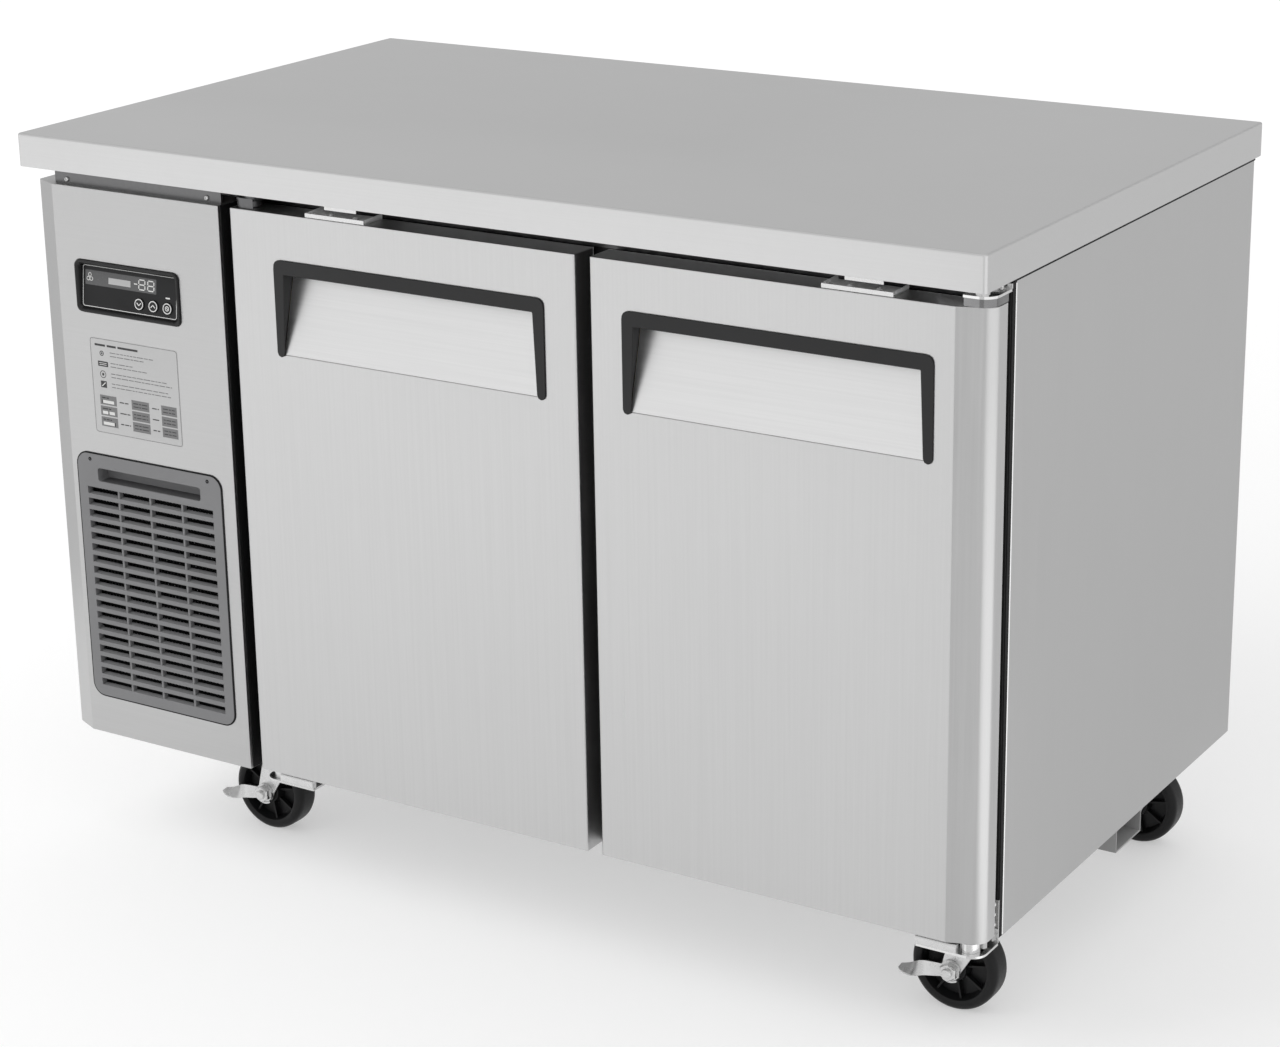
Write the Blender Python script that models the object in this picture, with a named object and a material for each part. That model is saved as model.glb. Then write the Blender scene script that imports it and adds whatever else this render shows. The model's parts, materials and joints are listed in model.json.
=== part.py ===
"""Under-counter refrigerator: two hinged doors, a machine compartment at the left, four swivel casters.

Metres, +Z up, front facing -Y. The origin is on the floor, under the middle of the worktop.
"""
import math

import bmesh
import bpy
from mathutils import Matrix, Vector

# Overall size
WORKTOP_WIDTH = 1.200
WORKTOP_DEPTH = 0.700
WORKTOP_HEIGHT = 0.850
WORKTOP_EDGE = 0.038
WORKTOP_CORNER = 0.004
WORKTOP_SOFT_EDGE = 0.002
SIDE_OVERHANG = 0.002
BACK_OVERHANG = 0.017

# Sheet metal and clearances
SHEET = 0.0012
LINER_SHEET = 0.0010
SEAT = 0.0003
RUNNING_GAP = 0.0005
CUT_PAST = 0.010

# Door layout
DOOR_SETBACK = 0.016
DOOR_THICKNESS = 0.0365
GASKET_SPACE = 0.010
DOOR_TOP_GAP = 0.0195
DOOR_BOTTOM_GAP = 0.007
BETWEEN_DOORS = 0.018
BESIDE_PANEL = 0.016
DOOR_CORNER = 0.0025
FACET_START = 0.037
FACET_END = 0.010
FACET_FALL = 0.0095
ROUND_DEPTH = 0.0145
GASKET_WIDTH = 0.014
GASKET_MARGIN = 0.004
DOOR_LINER = 0.002
DYKE_WIDTH = 0.018
DYKE_HEIGHT = 0.007
DYKE_MARGIN = 0.006

# Hinges
PIVOT_INSET = 0.018
PIVOT_DEPTH = 0.0185
PIN_RADIUS = 0.004
PIN_DEPTH = 0.012
WASHER_RADIUS = 0.008
WASHER_HEIGHT = 0.0035
BRACKET_PLATE = 0.004
BRACKET_LENGTH = 0.072
BRACKET_MARGIN = 0.003
BRACKET_CORNER = 0.012
BRACKET_LEG = 0.0015
BRACKET_LEG_WIDTH = 0.013
BRACKET_LEG_RISE = 0.044

# Handles
HANDLE_WIDTH = 0.350
HANDLE_HEIGHT = 0.109
HANDLE_DROP = 0.0505
HANDLE_FREE_EDGE = 0.038
HANDLE_BAR = 0.016
HANDLE_LEG_TOP = 0.014
HANDLE_LEG_END = 0.0105
HANDLE_CORNER = 0.010
HANDLE_PROUD = 0.002
HANDLE_LAP = 0.006
HANDLE_WALL = 0.002
HANDLE_FOOT = 0.003
POCKET_DEPTH = 0.026
SCOOP_SHEET = 0.001

# Check rails on the doors' top edges
RAIL_LENGTH = 0.078
RAIL_DEPTH = 0.033
RAIL_HEIGHT = 0.0065
RAIL_LIP = 0.0025
RAIL_FROM_HINGE = 0.103

# Insulated cabinet
WALL = 0.050
FRAME_SHEET = 0.003
MULLION_WIDTH = 0.068
MULLION_DEPTH = 0.045
LEDGE_WIDTH = 0.012
LEDGE_HEIGHT = 0.010

# Shelves
SHELF_HEIGHT = 0.430
SHELF_SHEET = 0.005
SHELF_MARGIN = 0.004
SHELF_WIRE = 0.004
SHELF_SLOTS = 13
SHELF_BAYS = 2
SHELF_RIM = 0.008

# Machine compartment
MACHINE_WIDTH = 0.270
BOX_OFFSET = 0.004
PANEL_BOTTOM_GAP = 0.003
PANEL_CHAMFER_WIDTH = 0.030
PANEL_CHAMFER_DEPTH = 0.0135
FLANGE = 0.018
TRAY_SHEET = 0.002
TRAY_LIP = 0.020
REAR_MARGIN = 0.036
REAR_PITCH = 0.028
REAR_SLOT_START = 0.330
REAR_TOP_MARGIN = 0.060
GLAND_RADIUS = 0.010
GLAND_BORE = 0.005
GLAND_LENGTH = 0.004
GLAND_RISE = 0.055

# Louvre grille
GRILLE_SIDE = 0.039
GRILLE_WIDTH = 0.212
GRILLE_HEIGHT = 0.300
GRILLE_RISE = 0.049
GRILLE_CORNER = 0.015
GRILLE_PROUD = 0.0015
GRILLE_THICKNESS = 0.008
GRILLE_COLUMNS = 4
GRILLE_MARGIN = 0.013
GRILLE_PITCH = 0.014
GRILLE_SLOT = 0.0085
GRILLE_RIB = 0.003
PULL_WIDTH = 0.152
PULL_HEIGHT = 0.016
PULL_DROP = 0.016

# Control panel
BEZEL_SIDE = 0.057
BEZEL_WIDTH = 0.151
BEZEL_HEIGHT = 0.0605
BEZEL_DROP = 0.0835
BEZEL_CORNER = 0.007
BEZEL_RIM = 0.005
BEZEL_PROUD = 0.003
BEZEL_DEPTH = 0.014
DISPLAY_SHEET = 0.003
DISPLAY_TILT = math.radians(6.0)
DISPLAY_RECESS = 0.006
BUTTON_RADIUS = 0.0068
BUTTON_LENGTH = 0.005
BUTTON_PROUD = 0.0015
BUTTON_SPACING = 0.0205
BUTTON_FROM_RIGHT = 0.014
BUTTON_RISE = 0.0125

# Condenser, compressor and fans
COIL_HEIGHT = 0.330
COIL_SIDE_GAP = 0.012
COIL_DEPTH = 0.040
COIL_FRONT_GAP = 0.020
COIL_RIM = 0.010
COIL_FINS = 20
FIN_THICKNESS = 0.0035
FAN_RADIUS = 0.095
FAN_TIP_GAP = 0.006
FAN_SIDE_GAP = 0.003
FAN_BLADES = 5
FAN_HUB = 0.022
FAN_HUB_LENGTH = 0.016
FAN_ROOT = 0.012
FAN_TIP = 0.050
BLADE_THICKNESS = 0.002
BLADE_PITCH = math.radians(22.0)
MOTOR_RADIUS = 0.032
MOTOR_LENGTH = 0.050
MOTOR_STRAP = 0.012
STRAP_THICKNESS = 0.003
COMPRESSOR_RADIUS = 0.080
COMPRESSOR_HEIGHT = 0.180
COMPRESSOR_BACK_GAP = 0.100
COMPRESSOR_CROWN = 0.040
FOOT_PLATE = 0.004
FOOT_OVERHANG = 0.020
TUBE_RADIUS = 0.004
TUBE_BEND = 0.016
SHAFT_RADIUS = 0.004
SMALL_MOTOR_RADIUS = 0.024
SMALL_MOTOR_BACK_GAP = 0.018

# Evaporator
EVAPORATOR_DEPTH = 0.075
EVAPORATOR_LENGTH = 0.360
EVAPORATOR_SHELF_GAP = 0.0454
EVAPORATOR_BACK_GAP = 0.060
EVAPORATOR_TOP_GAP = 0.020
EVAPORATOR_COIL_LENGTH = 0.190
EVAPORATOR_FINS = 14
EVAPORATOR_FAN_RADIUS = 0.060

# Base channel
CHANNEL_WIDTH = 0.068
CHANNEL_HEIGHT = 0.030
CHANNEL_SHEET = 0.002
CHANNEL_FORWARD = 0.0175
CHANNEL_END_GAP = 0.004

# Casters
CASTER_HEIGHT = 0.127
WHEEL_RADIUS = 0.050
WHEEL_WIDTH = 0.032
WHEEL_SIDES = 24
WHEEL_SHOULDER = 0.005
WHEEL_RIM = 0.013
WHEEL_WEB = 0.008
WHEEL_HUB = 0.015
AXLE_RADIUS = 0.006
CASTER_TRAIL = 0.028
CASTER_PLATE_LENGTH = 0.090
CASTER_PLATE_WIDTH = 0.066
CASTER_PLATE = 0.003
CASTER_PLATE_CORNER = 0.006
FORK_SHEET = 0.003
FORK_SIDE_GAP = 0.0015
FORK_TOP_GAP = 0.005
FORK_HALF_LENGTH = 0.026
FORK_EAR = 0.012
RACE_RADIUS = 0.024
NUT_RADIUS = 0.009
NUT_LENGTH = 0.006
LEVER_SHEET = 0.003
LEVER_LENGTH = 0.046
LEVER_EYE = 0.011
LEVER_END = 0.007
LEVER_DROOP = math.radians(8.0)
LEVER_FOOT = 0.014
LEFT_CASTERS_IN = 0.235
RIGHT_CASTERS_IN = 0.050
FRONT_CASTERS_IN = 0.0725
BACK_CASTERS_IN = 0.069

# Places worked out from the sizes above
WORKTOP_BOTTOM = WORKTOP_HEIGHT - WORKTOP_EDGE
CABINET_RIGHT = WORKTOP_WIDTH / 2 - SIDE_OVERHANG
CABINET_LEFT = -CABINET_RIGHT
CABINET_TOP = WORKTOP_BOTTOM - SEAT
CABINET_BOTTOM = CASTER_HEIGHT
CABINET_BACK = WORKTOP_DEPTH / 2 - BACK_OVERHANG
FACE = -WORKTOP_DEPTH / 2 + DOOR_SETBACK
DOOR_BACK = FACE + DOOR_THICKNESS
CABINET_FRONT = DOOR_BACK + GASKET_SPACE
DOOR_TOP = WORKTOP_BOTTOM - DOOR_TOP_GAP
DOOR_BOTTOM = CABINET_BOTTOM + DOOR_BOTTOM_GAP
PANEL_BOTTOM = CABINET_BOTTOM + PANEL_BOTTOM_GAP
PANEL_RIGHT = CABINET_LEFT + MACHINE_WIDTH
BOX_LEFT = PANEL_RIGHT + BOX_OFFSET
LEFT_DOOR_HINGE = PANEL_RIGHT + BESIDE_PANEL
DOOR_WIDTH = (CABINET_RIGHT - LEFT_DOOR_HINGE - BETWEEN_DOORS) / 2
MULLION_CENTRE = LEFT_DOOR_HINGE + DOOR_WIDTH + BETWEEN_DOORS / 2
MULLION_LEFT = MULLION_CENTRE - MULLION_WIDTH / 2
MULLION_RIGHT = MULLION_CENTRE + MULLION_WIDTH / 2
PIVOT_Y = FACE + PIVOT_DEPTH
PIN_HOLE = PIN_RADIUS + RUNNING_GAP
FOAM_FRONT = CABINET_FRONT + FRAME_SHEET + SEAT
CAVITY_LOW = (BOX_LEFT + WALL, FOAM_FRONT, CABINET_BOTTOM + WALL)
CAVITY_HIGH = (CABINET_RIGHT - WALL, CABINET_BACK - WALL, CABINET_TOP - WALL)
INSIDE_LOW = (CAVITY_LOW[0] + SEAT + LINER_SHEET, FOAM_FRONT, CAVITY_LOW[2] + SEAT + LINER_SHEET)
INSIDE_HIGH = tuple(high - SEAT - LINER_SHEET for high in CAVITY_HIGH)
MULLION_BACK = CABINET_FRONT + MULLION_DEPTH
EVAPORATOR_TOP = INSIDE_HIGH[2] - EVAPORATOR_TOP_GAP
EVAPORATOR_BOTTOM = SHELF_HEIGHT + SHELF_SHEET + EVAPORATOR_SHELF_GAP
MACHINE_LOW = CABINET_LEFT + SHEET + SEAT
MACHINE_HIGH = BOX_LEFT - SEAT
TRAY_TOP = CABINET_BOTTOM + TRAY_SHEET
FAN_HALF_DEPTH = max(FAN_HUB_LENGTH, FAN_TIP * math.sin(BLADE_PITCH) + 2 * BLADE_THICKNESS) / 2
SHROUD_DEPTH = 2 * (FAN_HALF_DEPTH + FAN_SIDE_GAP)
GRILLE_FIELD_HEIGHT = GRILLE_HEIGHT - PULL_DROP - PULL_HEIGHT - GRILLE_MARGIN
GRILLE_ROWS = int(GRILLE_FIELD_HEIGHT / GRILLE_PITCH)
REAR_FIELD_HEIGHT = CABINET_TOP - REAR_TOP_MARGIN - CABINET_BOTTOM - REAR_SLOT_START
REAR_SLOTS = int(REAR_FIELD_HEIGHT / REAR_PITCH)
AXLE_HEIGHT = WHEEL_RADIUS * math.cos(math.pi / WHEEL_SIDES)

# Colour, roughness and metallic value of each finish
FINISHES = {
    "steel": ((0.60, 0.60, 0.60), 0.34, 1.0),
    "bright_steel": ((0.78, 0.78, 0.78), 0.18, 1.0),
    "zinc": ((0.66, 0.67, 0.68), 0.30, 1.0),
    "black_plastic": ((0.030, 0.030, 0.031), 0.45, 0.0),
    "grey_plastic": ((0.29, 0.29, 0.30), 0.50, 0.0),
    "smoked_plastic": ((0.055, 0.055, 0.058), 0.22, 0.0),
    "button_plastic": ((0.42, 0.42, 0.43), 0.40, 0.0),
    "white_plastic": ((0.80, 0.80, 0.79), 0.45, 0.0),
    "foam": ((0.83, 0.76, 0.55), 0.90, 0.0),
    "rubber": ((0.020, 0.020, 0.021), 0.70, 0.0),
    "coated_wire": ((0.74, 0.75, 0.74), 0.40, 0.0),
    "aluminium": ((0.70, 0.71, 0.72), 0.38, 1.0),
    "copper": ((0.72, 0.42, 0.28), 0.32, 1.0),
    "black_paint": ((0.025, 0.025, 0.026), 0.38, 0.0),
}


# Basic shapes

def clear_scene():
    """Remove every object that the scene starts with."""
    for item in list(bpy.data.objects):
        bpy.data.objects.remove(item, do_unlink=True)


def box_into(shape, low, high):
    """Add a box between two corners."""
    size = [top - bottom for bottom, top in zip(low, high)]
    centre = [(top + bottom) / 2 for bottom, top in zip(low, high)]
    matrix = Matrix.Translation(centre) @ Matrix.Diagonal((*size, 1.0))
    bmesh.ops.create_cube(shape, size=1.0, matrix=matrix)


def boxes(*corner_pairs):
    """Make one shape of several boxes that don't touch each other."""
    shape = bmesh.new()
    for low, high in corner_pairs:
        box_into(shape, low, high)
    return shape


def prism_into(shape, outline, axis, low, high):
    """Add an outline of point pairs, drawn square to an axis, extruded from low to high."""
    rings = []
    for level in (low, high):
        ring = []
        for first, second in outline:
            spot = [first, second]
            spot.insert("XYZ".index(axis), level)
            ring.append(shape.verts.new(spot))
        rings.append(ring)
    shape.faces.new(rings[0])
    shape.faces.new(list(reversed(rings[1])))
    count = len(outline)
    for index in range(count):
        after = (index + 1) % count
        shape.faces.new((rings[0][after], rings[0][index], rings[1][index], rings[1][after]))


def prism(outline, axis, low, high):
    """Make one extruded outline."""
    shape = bmesh.new()
    prism_into(shape, outline, axis, low, high)
    return shape


def turned_into(shape, profile, axis, centre, sides, closed=False, phase=0.0):
    """Add a profile of (radius, height) points, turned about an axis through a centre."""
    frames = {
        "X": (Vector((0, 1, 0)), Vector((0, 0, 1)), Vector((1, 0, 0))),
        "Y": (Vector((0, 0, 1)), Vector((1, 0, 0)), Vector((0, 1, 0))),
        "Z": (Vector((1, 0, 0)), Vector((0, 1, 0)), Vector((0, 0, 1))),
    }
    across, along, up = frames[axis]
    rings = []
    for radius, height in profile:
        middle = Vector(centre) + up * height
        if radius == 0.0:
            rings.append([shape.verts.new(middle)])
            continue
        ring = []
        for side in range(sides):
            angle = phase + math.tau * side / sides
            outward = across * math.cos(angle) + along * math.sin(angle)
            ring.append(shape.verts.new(middle + radius * outward))
        rings.append(ring)
    steps = len(rings) if closed else len(rings) - 1
    for step in range(steps):
        lower = rings[step]
        upper = rings[(step + 1) % len(rings)]
        for side in range(sides):
            after = (side + 1) % sides
            corners = [lower[side % len(lower)], lower[after % len(lower)]]
            corners += [upper[after % len(upper)], upper[side % len(upper)]]
            unique = list(dict.fromkeys(corners))
            shape.faces.new(unique)


def turned(profile, axis, centre, sides, closed=False, phase=0.0):
    """Make one turned shape."""
    shape = bmesh.new()
    turned_into(shape, profile, axis, centre, sides, closed, phase)
    return shape


def rod(radius, low, high):
    """Profile of a solid rod from one height to another."""
    return [(0.0, low), (radius, low), (radius, high), (0.0, high)]


def soft_corner(start, control, end, steps):
    """Points of a rounded corner, both ends included."""
    points = []
    for step in range(steps + 1):
        share = step / steps
        first = Vector(start).lerp(Vector(control), share)
        second = Vector(control).lerp(Vector(end), share)
        points.append(tuple(first.lerp(second, share)))
    return points


def rounded_rectangle(low, high, radius, steps=3):
    """Outline of a rectangle with four round corners."""
    points = []
    corners = (
        (high[0] - radius, low[1] + radius, -90),
        (high[0] - radius, high[1] - radius, 0),
        (low[0] + radius, high[1] - radius, 90),
        (low[0] + radius, low[1] + radius, 180),
    )
    for first, second, start in corners:
        for step in range(steps + 1):
            angle = math.radians(start + 90 * step / steps)
            points.append((first + radius * math.cos(angle), second + radius * math.sin(angle)))
    return points


def inset(outline, distance):
    """Outline moved inwards by a distance, corner by corner."""
    pairs = list(zip(outline, outline[1:] + outline[:1]))
    area = sum(here[0] * after[1] - after[0] * here[1] for here, after in pairs)
    turn = 1.0 if area > 0 else -1.0
    moved = []
    for index, point in enumerate(outline):
        here = Vector(point)
        arriving = (here - Vector(outline[index - 1])).normalized()
        leaving = (Vector(outline[(index + 1) % len(outline)]) - here).normalized()
        first = Vector((-arriving.y, arriving.x)) * turn
        second = Vector((-leaving.y, leaving.x)) * turn
        moved.append(tuple(here + (first + second) / (1.0 + first.dot(second)) * distance))
    return moved


# Objects

def material(name, finish):
    """Principled material of one piece."""
    colour, roughness, metallic = FINISHES[finish]
    made = bpy.data.materials.new(name)
    made.use_nodes = True
    shader = made.node_tree.nodes["Principled BSDF"]
    shader.inputs["Base Color"].default_value = (*colour, 1.0)
    shader.inputs["Roughness"].default_value = roughness
    shader.inputs["Metallic"].default_value = metallic
    return made


def pivot(name, spot, parent=None, rotation=(0.0, 0.0, 0.0)):
    """Empty on a joint's axis or at a sub-assembly's own origin."""
    empty = bpy.data.objects.new(name, None)
    bpy.context.scene.collection.objects.link(empty)
    empty.parent = parent
    empty.location = spot
    empty.rotation_euler = rotation
    return empty


def mesh_object(name, shape, parent):
    """Object from a finished shape, with its faces pointing out."""
    bmesh.ops.recalc_face_normals(shape, faces=shape.faces)
    mesh = bpy.data.meshes.new(name)
    shape.to_mesh(mesh)
    shape.free()
    made = bpy.data.objects.new(name, mesh)
    bpy.context.scene.collection.objects.link(made)
    made.parent = parent
    return made


def piece(name, shape, finish, parent=None, smooth=False):
    """Named piece of the refrigerator."""
    made = mesh_object(name, shape, parent)
    made.data.materials.append(material(name, finish))
    if smooth:
        made.data.shade_smooth()
        made.data.set_sharp_from_angle(angle=math.radians(35.0))
    return made


def tool(target, shape, operation):
    """Cut a shape out of a piece, or join a shape to it, with a hidden guide."""
    guide = mesh_object(f"{target.name}_guide_{len(target.modifiers)}", shape, target.parent)
    guide.hide_render = True
    guide.display_type = "WIRE"
    change = target.modifiers.new(guide.name, "BOOLEAN")
    change.operation = operation
    change.solver = "EXACT"
    change.object = guide


def cut(target, shape):
    """Cut a shape out of a piece."""
    tool(target, shape, "DIFFERENCE")


def join(target, shape):
    """Join a shape to a piece."""
    tool(target, shape, "UNION")


# Worktop and insulated cabinet

def build_worktop():
    """Steel-clad worktop with softened top edges."""
    half = (WORKTOP_WIDTH / 2, WORKTOP_DEPTH / 2)
    outline = rounded_rectangle((-half[0], -half[1]), half, WORKTOP_CORNER)
    shape = prism(outline, "Z", WORKTOP_BOTTOM, WORKTOP_HEIGHT)
    middle = (WORKTOP_BOTTOM + WORKTOP_HEIGHT) / 2
    rim = [edge for edge in shape.edges if all(vert.co.z > middle for vert in edge.verts)]
    bmesh.ops.bevel(shape, geom=rim, offset=WORKTOP_SOFT_EDGE, segments=2, profile=0.5, affect="EDGES")
    piece("worktop", shape, "steel", smooth=True)


def build_cabinet_box():
    """Outer shell, foam and liner of the storage box, each open to the front."""
    low = (BOX_LEFT, CABINET_FRONT, CABINET_BOTTOM)
    high = (CABINET_RIGHT, CABINET_BACK, CABINET_TOP)
    shell = piece("cabinet_shell", boxes((low, high)), "steel")
    hollow_low = (low[0] + SHEET, low[1] - CUT_PAST, low[2] + SHEET)
    hollow_high = tuple(value - SHEET for value in high)
    cut(shell, boxes((hollow_low, hollow_high)))

    skin = SHEET + SEAT
    foam_low = (low[0] + skin, FOAM_FRONT, low[2] + skin)
    foam_high = tuple(value - skin for value in high)
    foam = piece("cabinet_insulation", boxes((foam_low, foam_high)), "foam")
    cavity_front = (CAVITY_LOW[0], CAVITY_LOW[1] - CUT_PAST, CAVITY_LOW[2])
    cut(foam, boxes((cavity_front, CAVITY_HIGH)))

    liner_low = (CAVITY_LOW[0] + SEAT, FOAM_FRONT, CAVITY_LOW[2] + SEAT)
    liner_high = tuple(value - SEAT for value in CAVITY_HIGH)
    liner = piece("cabinet_liner", boxes((liner_low, liner_high)), "bright_steel")
    inside_front = (INSIDE_LOW[0], INSIDE_LOW[1] - CUT_PAST, INSIDE_LOW[2])
    cut(liner, boxes((inside_front, INSIDE_HIGH)))
    ledge_low = SHELF_HEIGHT - SEAT - LEDGE_HEIGHT
    ledge_high = SHELF_HEIGHT - SEAT
    root = LINER_SHEET / 2
    back_gap = INSIDE_HIGH[1] - LEDGE_WIDTH
    left_low = (INSIDE_LOW[0] - root, MULLION_BACK, ledge_low)
    left_high = (INSIDE_LOW[0] + LEDGE_WIDTH, back_gap, ledge_high)
    right_low = (INSIDE_HIGH[0] - LEDGE_WIDTH, MULLION_BACK, ledge_low)
    right_high = (INSIDE_HIGH[0] + root, back_gap, ledge_high)
    back_low = (INSIDE_LOW[0] + LEDGE_WIDTH * 2, back_gap, ledge_low)
    back_high = (INSIDE_HIGH[0] - LEDGE_WIDTH * 2, INSIDE_HIGH[1] + root, ledge_high)
    join(liner, boxes((left_low, left_high), (right_low, right_high), (back_low, back_high)))


def build_front_frame():
    """Dark frame that the gaskets seal on, with the post between the doors."""
    skin = SHEET + SEAT
    low = (BOX_LEFT + skin, CABINET_FRONT, CABINET_BOTTOM + skin)
    high = (CABINET_RIGHT - skin, CABINET_FRONT + FRAME_SHEET, CABINET_TOP - skin)
    frame = piece("front_frame", boxes((low, high)), "black_plastic")
    before = CABINET_FRONT - CUT_PAST
    behind = CABINET_FRONT + CUT_PAST
    left_bay = ((INSIDE_LOW[0], before, INSIDE_LOW[2]), (MULLION_LEFT, behind, INSIDE_HIGH[2]))
    right_bay = ((MULLION_RIGHT, before, INSIDE_LOW[2]), (INSIDE_HIGH[0], behind, INSIDE_HIGH[2]))
    cut(frame, boxes(left_bay, right_bay))
    post_low = (MULLION_LEFT, CABINET_FRONT + FRAME_SHEET / 2, INSIDE_LOW[2] + SEAT)
    post_high = (MULLION_RIGHT, MULLION_BACK, INSIDE_HIGH[2] - SEAT)
    join(frame, boxes((post_low, post_high)))
    ledge_low = (MULLION_LEFT, MULLION_BACK - LEDGE_WIDTH / 2, SHELF_HEIGHT - SEAT - LEDGE_HEIGHT)
    ledge_high = (MULLION_RIGHT, MULLION_BACK + LEDGE_WIDTH, SHELF_HEIGHT - SEAT)
    join(frame, boxes((ledge_low, ledge_high)))


def build_shelf(name, left, right):
    """Coated wire shelf that rests on the ledges."""
    low = (left, MULLION_BACK + SHELF_MARGIN, SHELF_HEIGHT)
    high = (right, INSIDE_HIGH[1] - SHELF_MARGIN, SHELF_HEIGHT + SHELF_SHEET)
    shelf = piece(name, boxes((low, high)), "coated_wire")
    width = (right - left - 2 * SHELF_RIM - (SHELF_SLOTS - 1) * SHELF_WIRE) / SHELF_SLOTS
    depth = (high[1] - low[1] - 2 * SHELF_RIM - (SHELF_BAYS - 1) * SHELF_RIM) / SHELF_BAYS
    slots = []
    for column in range(SHELF_SLOTS):
        start = left + SHELF_RIM + column * (width + SHELF_WIRE)
        for bay in range(SHELF_BAYS):
            front = low[1] + SHELF_RIM + bay * (depth + SHELF_RIM)
            slot_low = (start, front, low[2] - CUT_PAST)
            slots.append((slot_low, (start + width, front + depth, high[2] + CUT_PAST)))
    cut(shelf, boxes(*slots))


def build_base_channel():
    """Channel across the floor's underside, open at both ends."""
    front = CHANNEL_FORWARD
    back = front + CHANNEL_WIDTH
    top = CABINET_BOTTOM - SEAT
    bottom = top - CHANNEL_HEIGHT
    wall = CHANNEL_SHEET
    outline = [(front, top), (front, bottom), (back, bottom), (back, top)]
    outline += [(back - wall, top), (back - wall, bottom + wall)]
    outline += [(front + wall, bottom + wall), (front + wall, top)]
    ends = CABINET_RIGHT - CHANNEL_END_GAP
    piece("base_channel", prism(outline, "X", -ends, ends), "zinc")


# Machine compartment

def build_machine_panels():
    """Front, side, rear and floor panels round the machine compartment."""
    back = CABINET_FRONT - SEAT
    outline = [(CABINET_LEFT, back), (PANEL_RIGHT, back), (PANEL_RIGHT, FACE)]
    outline += [(CABINET_LEFT + PANEL_CHAMFER_WIDTH, FACE), (CABINET_LEFT, FACE + PANEL_CHAMFER_DEPTH)]
    front = piece("machine_front_panel", prism(outline, "Z", PANEL_BOTTOM, DOOR_TOP), "steel")
    cut(front, prism(open_back(outline, SHEET, back), "Z", PANEL_BOTTOM + SHEET, DOOR_TOP - SHEET))
    cut(front, prism(grille_outline(-SEAT), "Y", FACE - CUT_PAST, FACE + CUT_PAST))
    cut(front, prism(bezel_outline(-SEAT), "Y", FACE - CUT_PAST, FACE + CUT_PAST))

    rear = CABINET_BACK
    near = CABINET_FRONT
    inner = CABINET_LEFT + SHEET
    flange = CABINET_LEFT + FLANGE
    side = [(CABINET_LEFT, near), (flange, near), (flange, near + SHEET), (inner, near + SHEET)]
    side += [(inner, rear - SHEET), (flange, rear - SHEET), (flange, rear), (CABINET_LEFT, rear)]
    piece("machine_side_panel", prism(side, "Z", CABINET_BOTTOM, CABINET_TOP), "steel")

    lip = TRAY_TOP + TRAY_LIP
    tray = [(MACHINE_LOW, CABINET_BOTTOM), (MACHINE_HIGH, CABINET_BOTTOM), (MACHINE_HIGH, lip)]
    tray += [(MACHINE_HIGH - TRAY_SHEET, lip), (MACHINE_HIGH - TRAY_SHEET, TRAY_TOP)]
    tray += [(MACHINE_LOW + TRAY_SHEET, TRAY_TOP), (MACHINE_LOW + TRAY_SHEET, lip), (MACHINE_LOW, lip)]
    skin = SHEET + SEAT
    piece("machine_base", prism(tray, "Y", near + skin, rear - skin), "zinc")
    build_machine_rear(flange + SEAT)


def build_machine_rear(left):
    """Louvred rear panel with the cord's gland; the cord itself isn't shown."""
    low = (left, CABINET_BACK - SHEET, CABINET_BOTTOM)
    high = (MACHINE_HIGH, CABINET_BACK, CABINET_TOP)
    panel = piece("machine_rear_panel", boxes((low, high)), "steel")
    slots = []
    for row in range(REAR_SLOTS):
        bottom = low[2] + REAR_SLOT_START + row * REAR_PITCH
        slot_low = (left + REAR_MARGIN, low[1] - CUT_PAST, bottom)
        slots.append((slot_low, (MACHINE_HIGH - REAR_MARGIN, high[1] + CUT_PAST, bottom + GRILLE_SLOT)))
    cut(panel, boxes(*slots))
    spot = (left + REAR_MARGIN, CABINET_BACK, CABINET_BOTTOM + GLAND_RISE)
    join(panel, turned(rod(GLAND_RADIUS, -SHEET / 2, GLAND_LENGTH), "Y", spot, 16))
    cut(panel, turned(rod(GLAND_BORE, -CUT_PAST, CUT_PAST), "Y", spot, 16))


def open_back(outline, wall, back):
    """Inside outline of a folded pan, carried out through its open back."""
    inner = inset(outline, wall)
    limit = back - wall * 1.5
    return [(first, back + CUT_PAST if second > limit else second) for first, second in inner]


def grille_outline(shrink):
    """Rounded outline of the grille, moved inwards by a distance."""
    left = CABINET_LEFT + GRILLE_SIDE
    bottom = PANEL_BOTTOM + GRILLE_RISE
    low = (left + shrink, bottom + shrink)
    high = (left + GRILLE_WIDTH - shrink, bottom + GRILLE_HEIGHT - shrink)
    return rounded_rectangle(low, high, GRILLE_CORNER - shrink)


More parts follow.
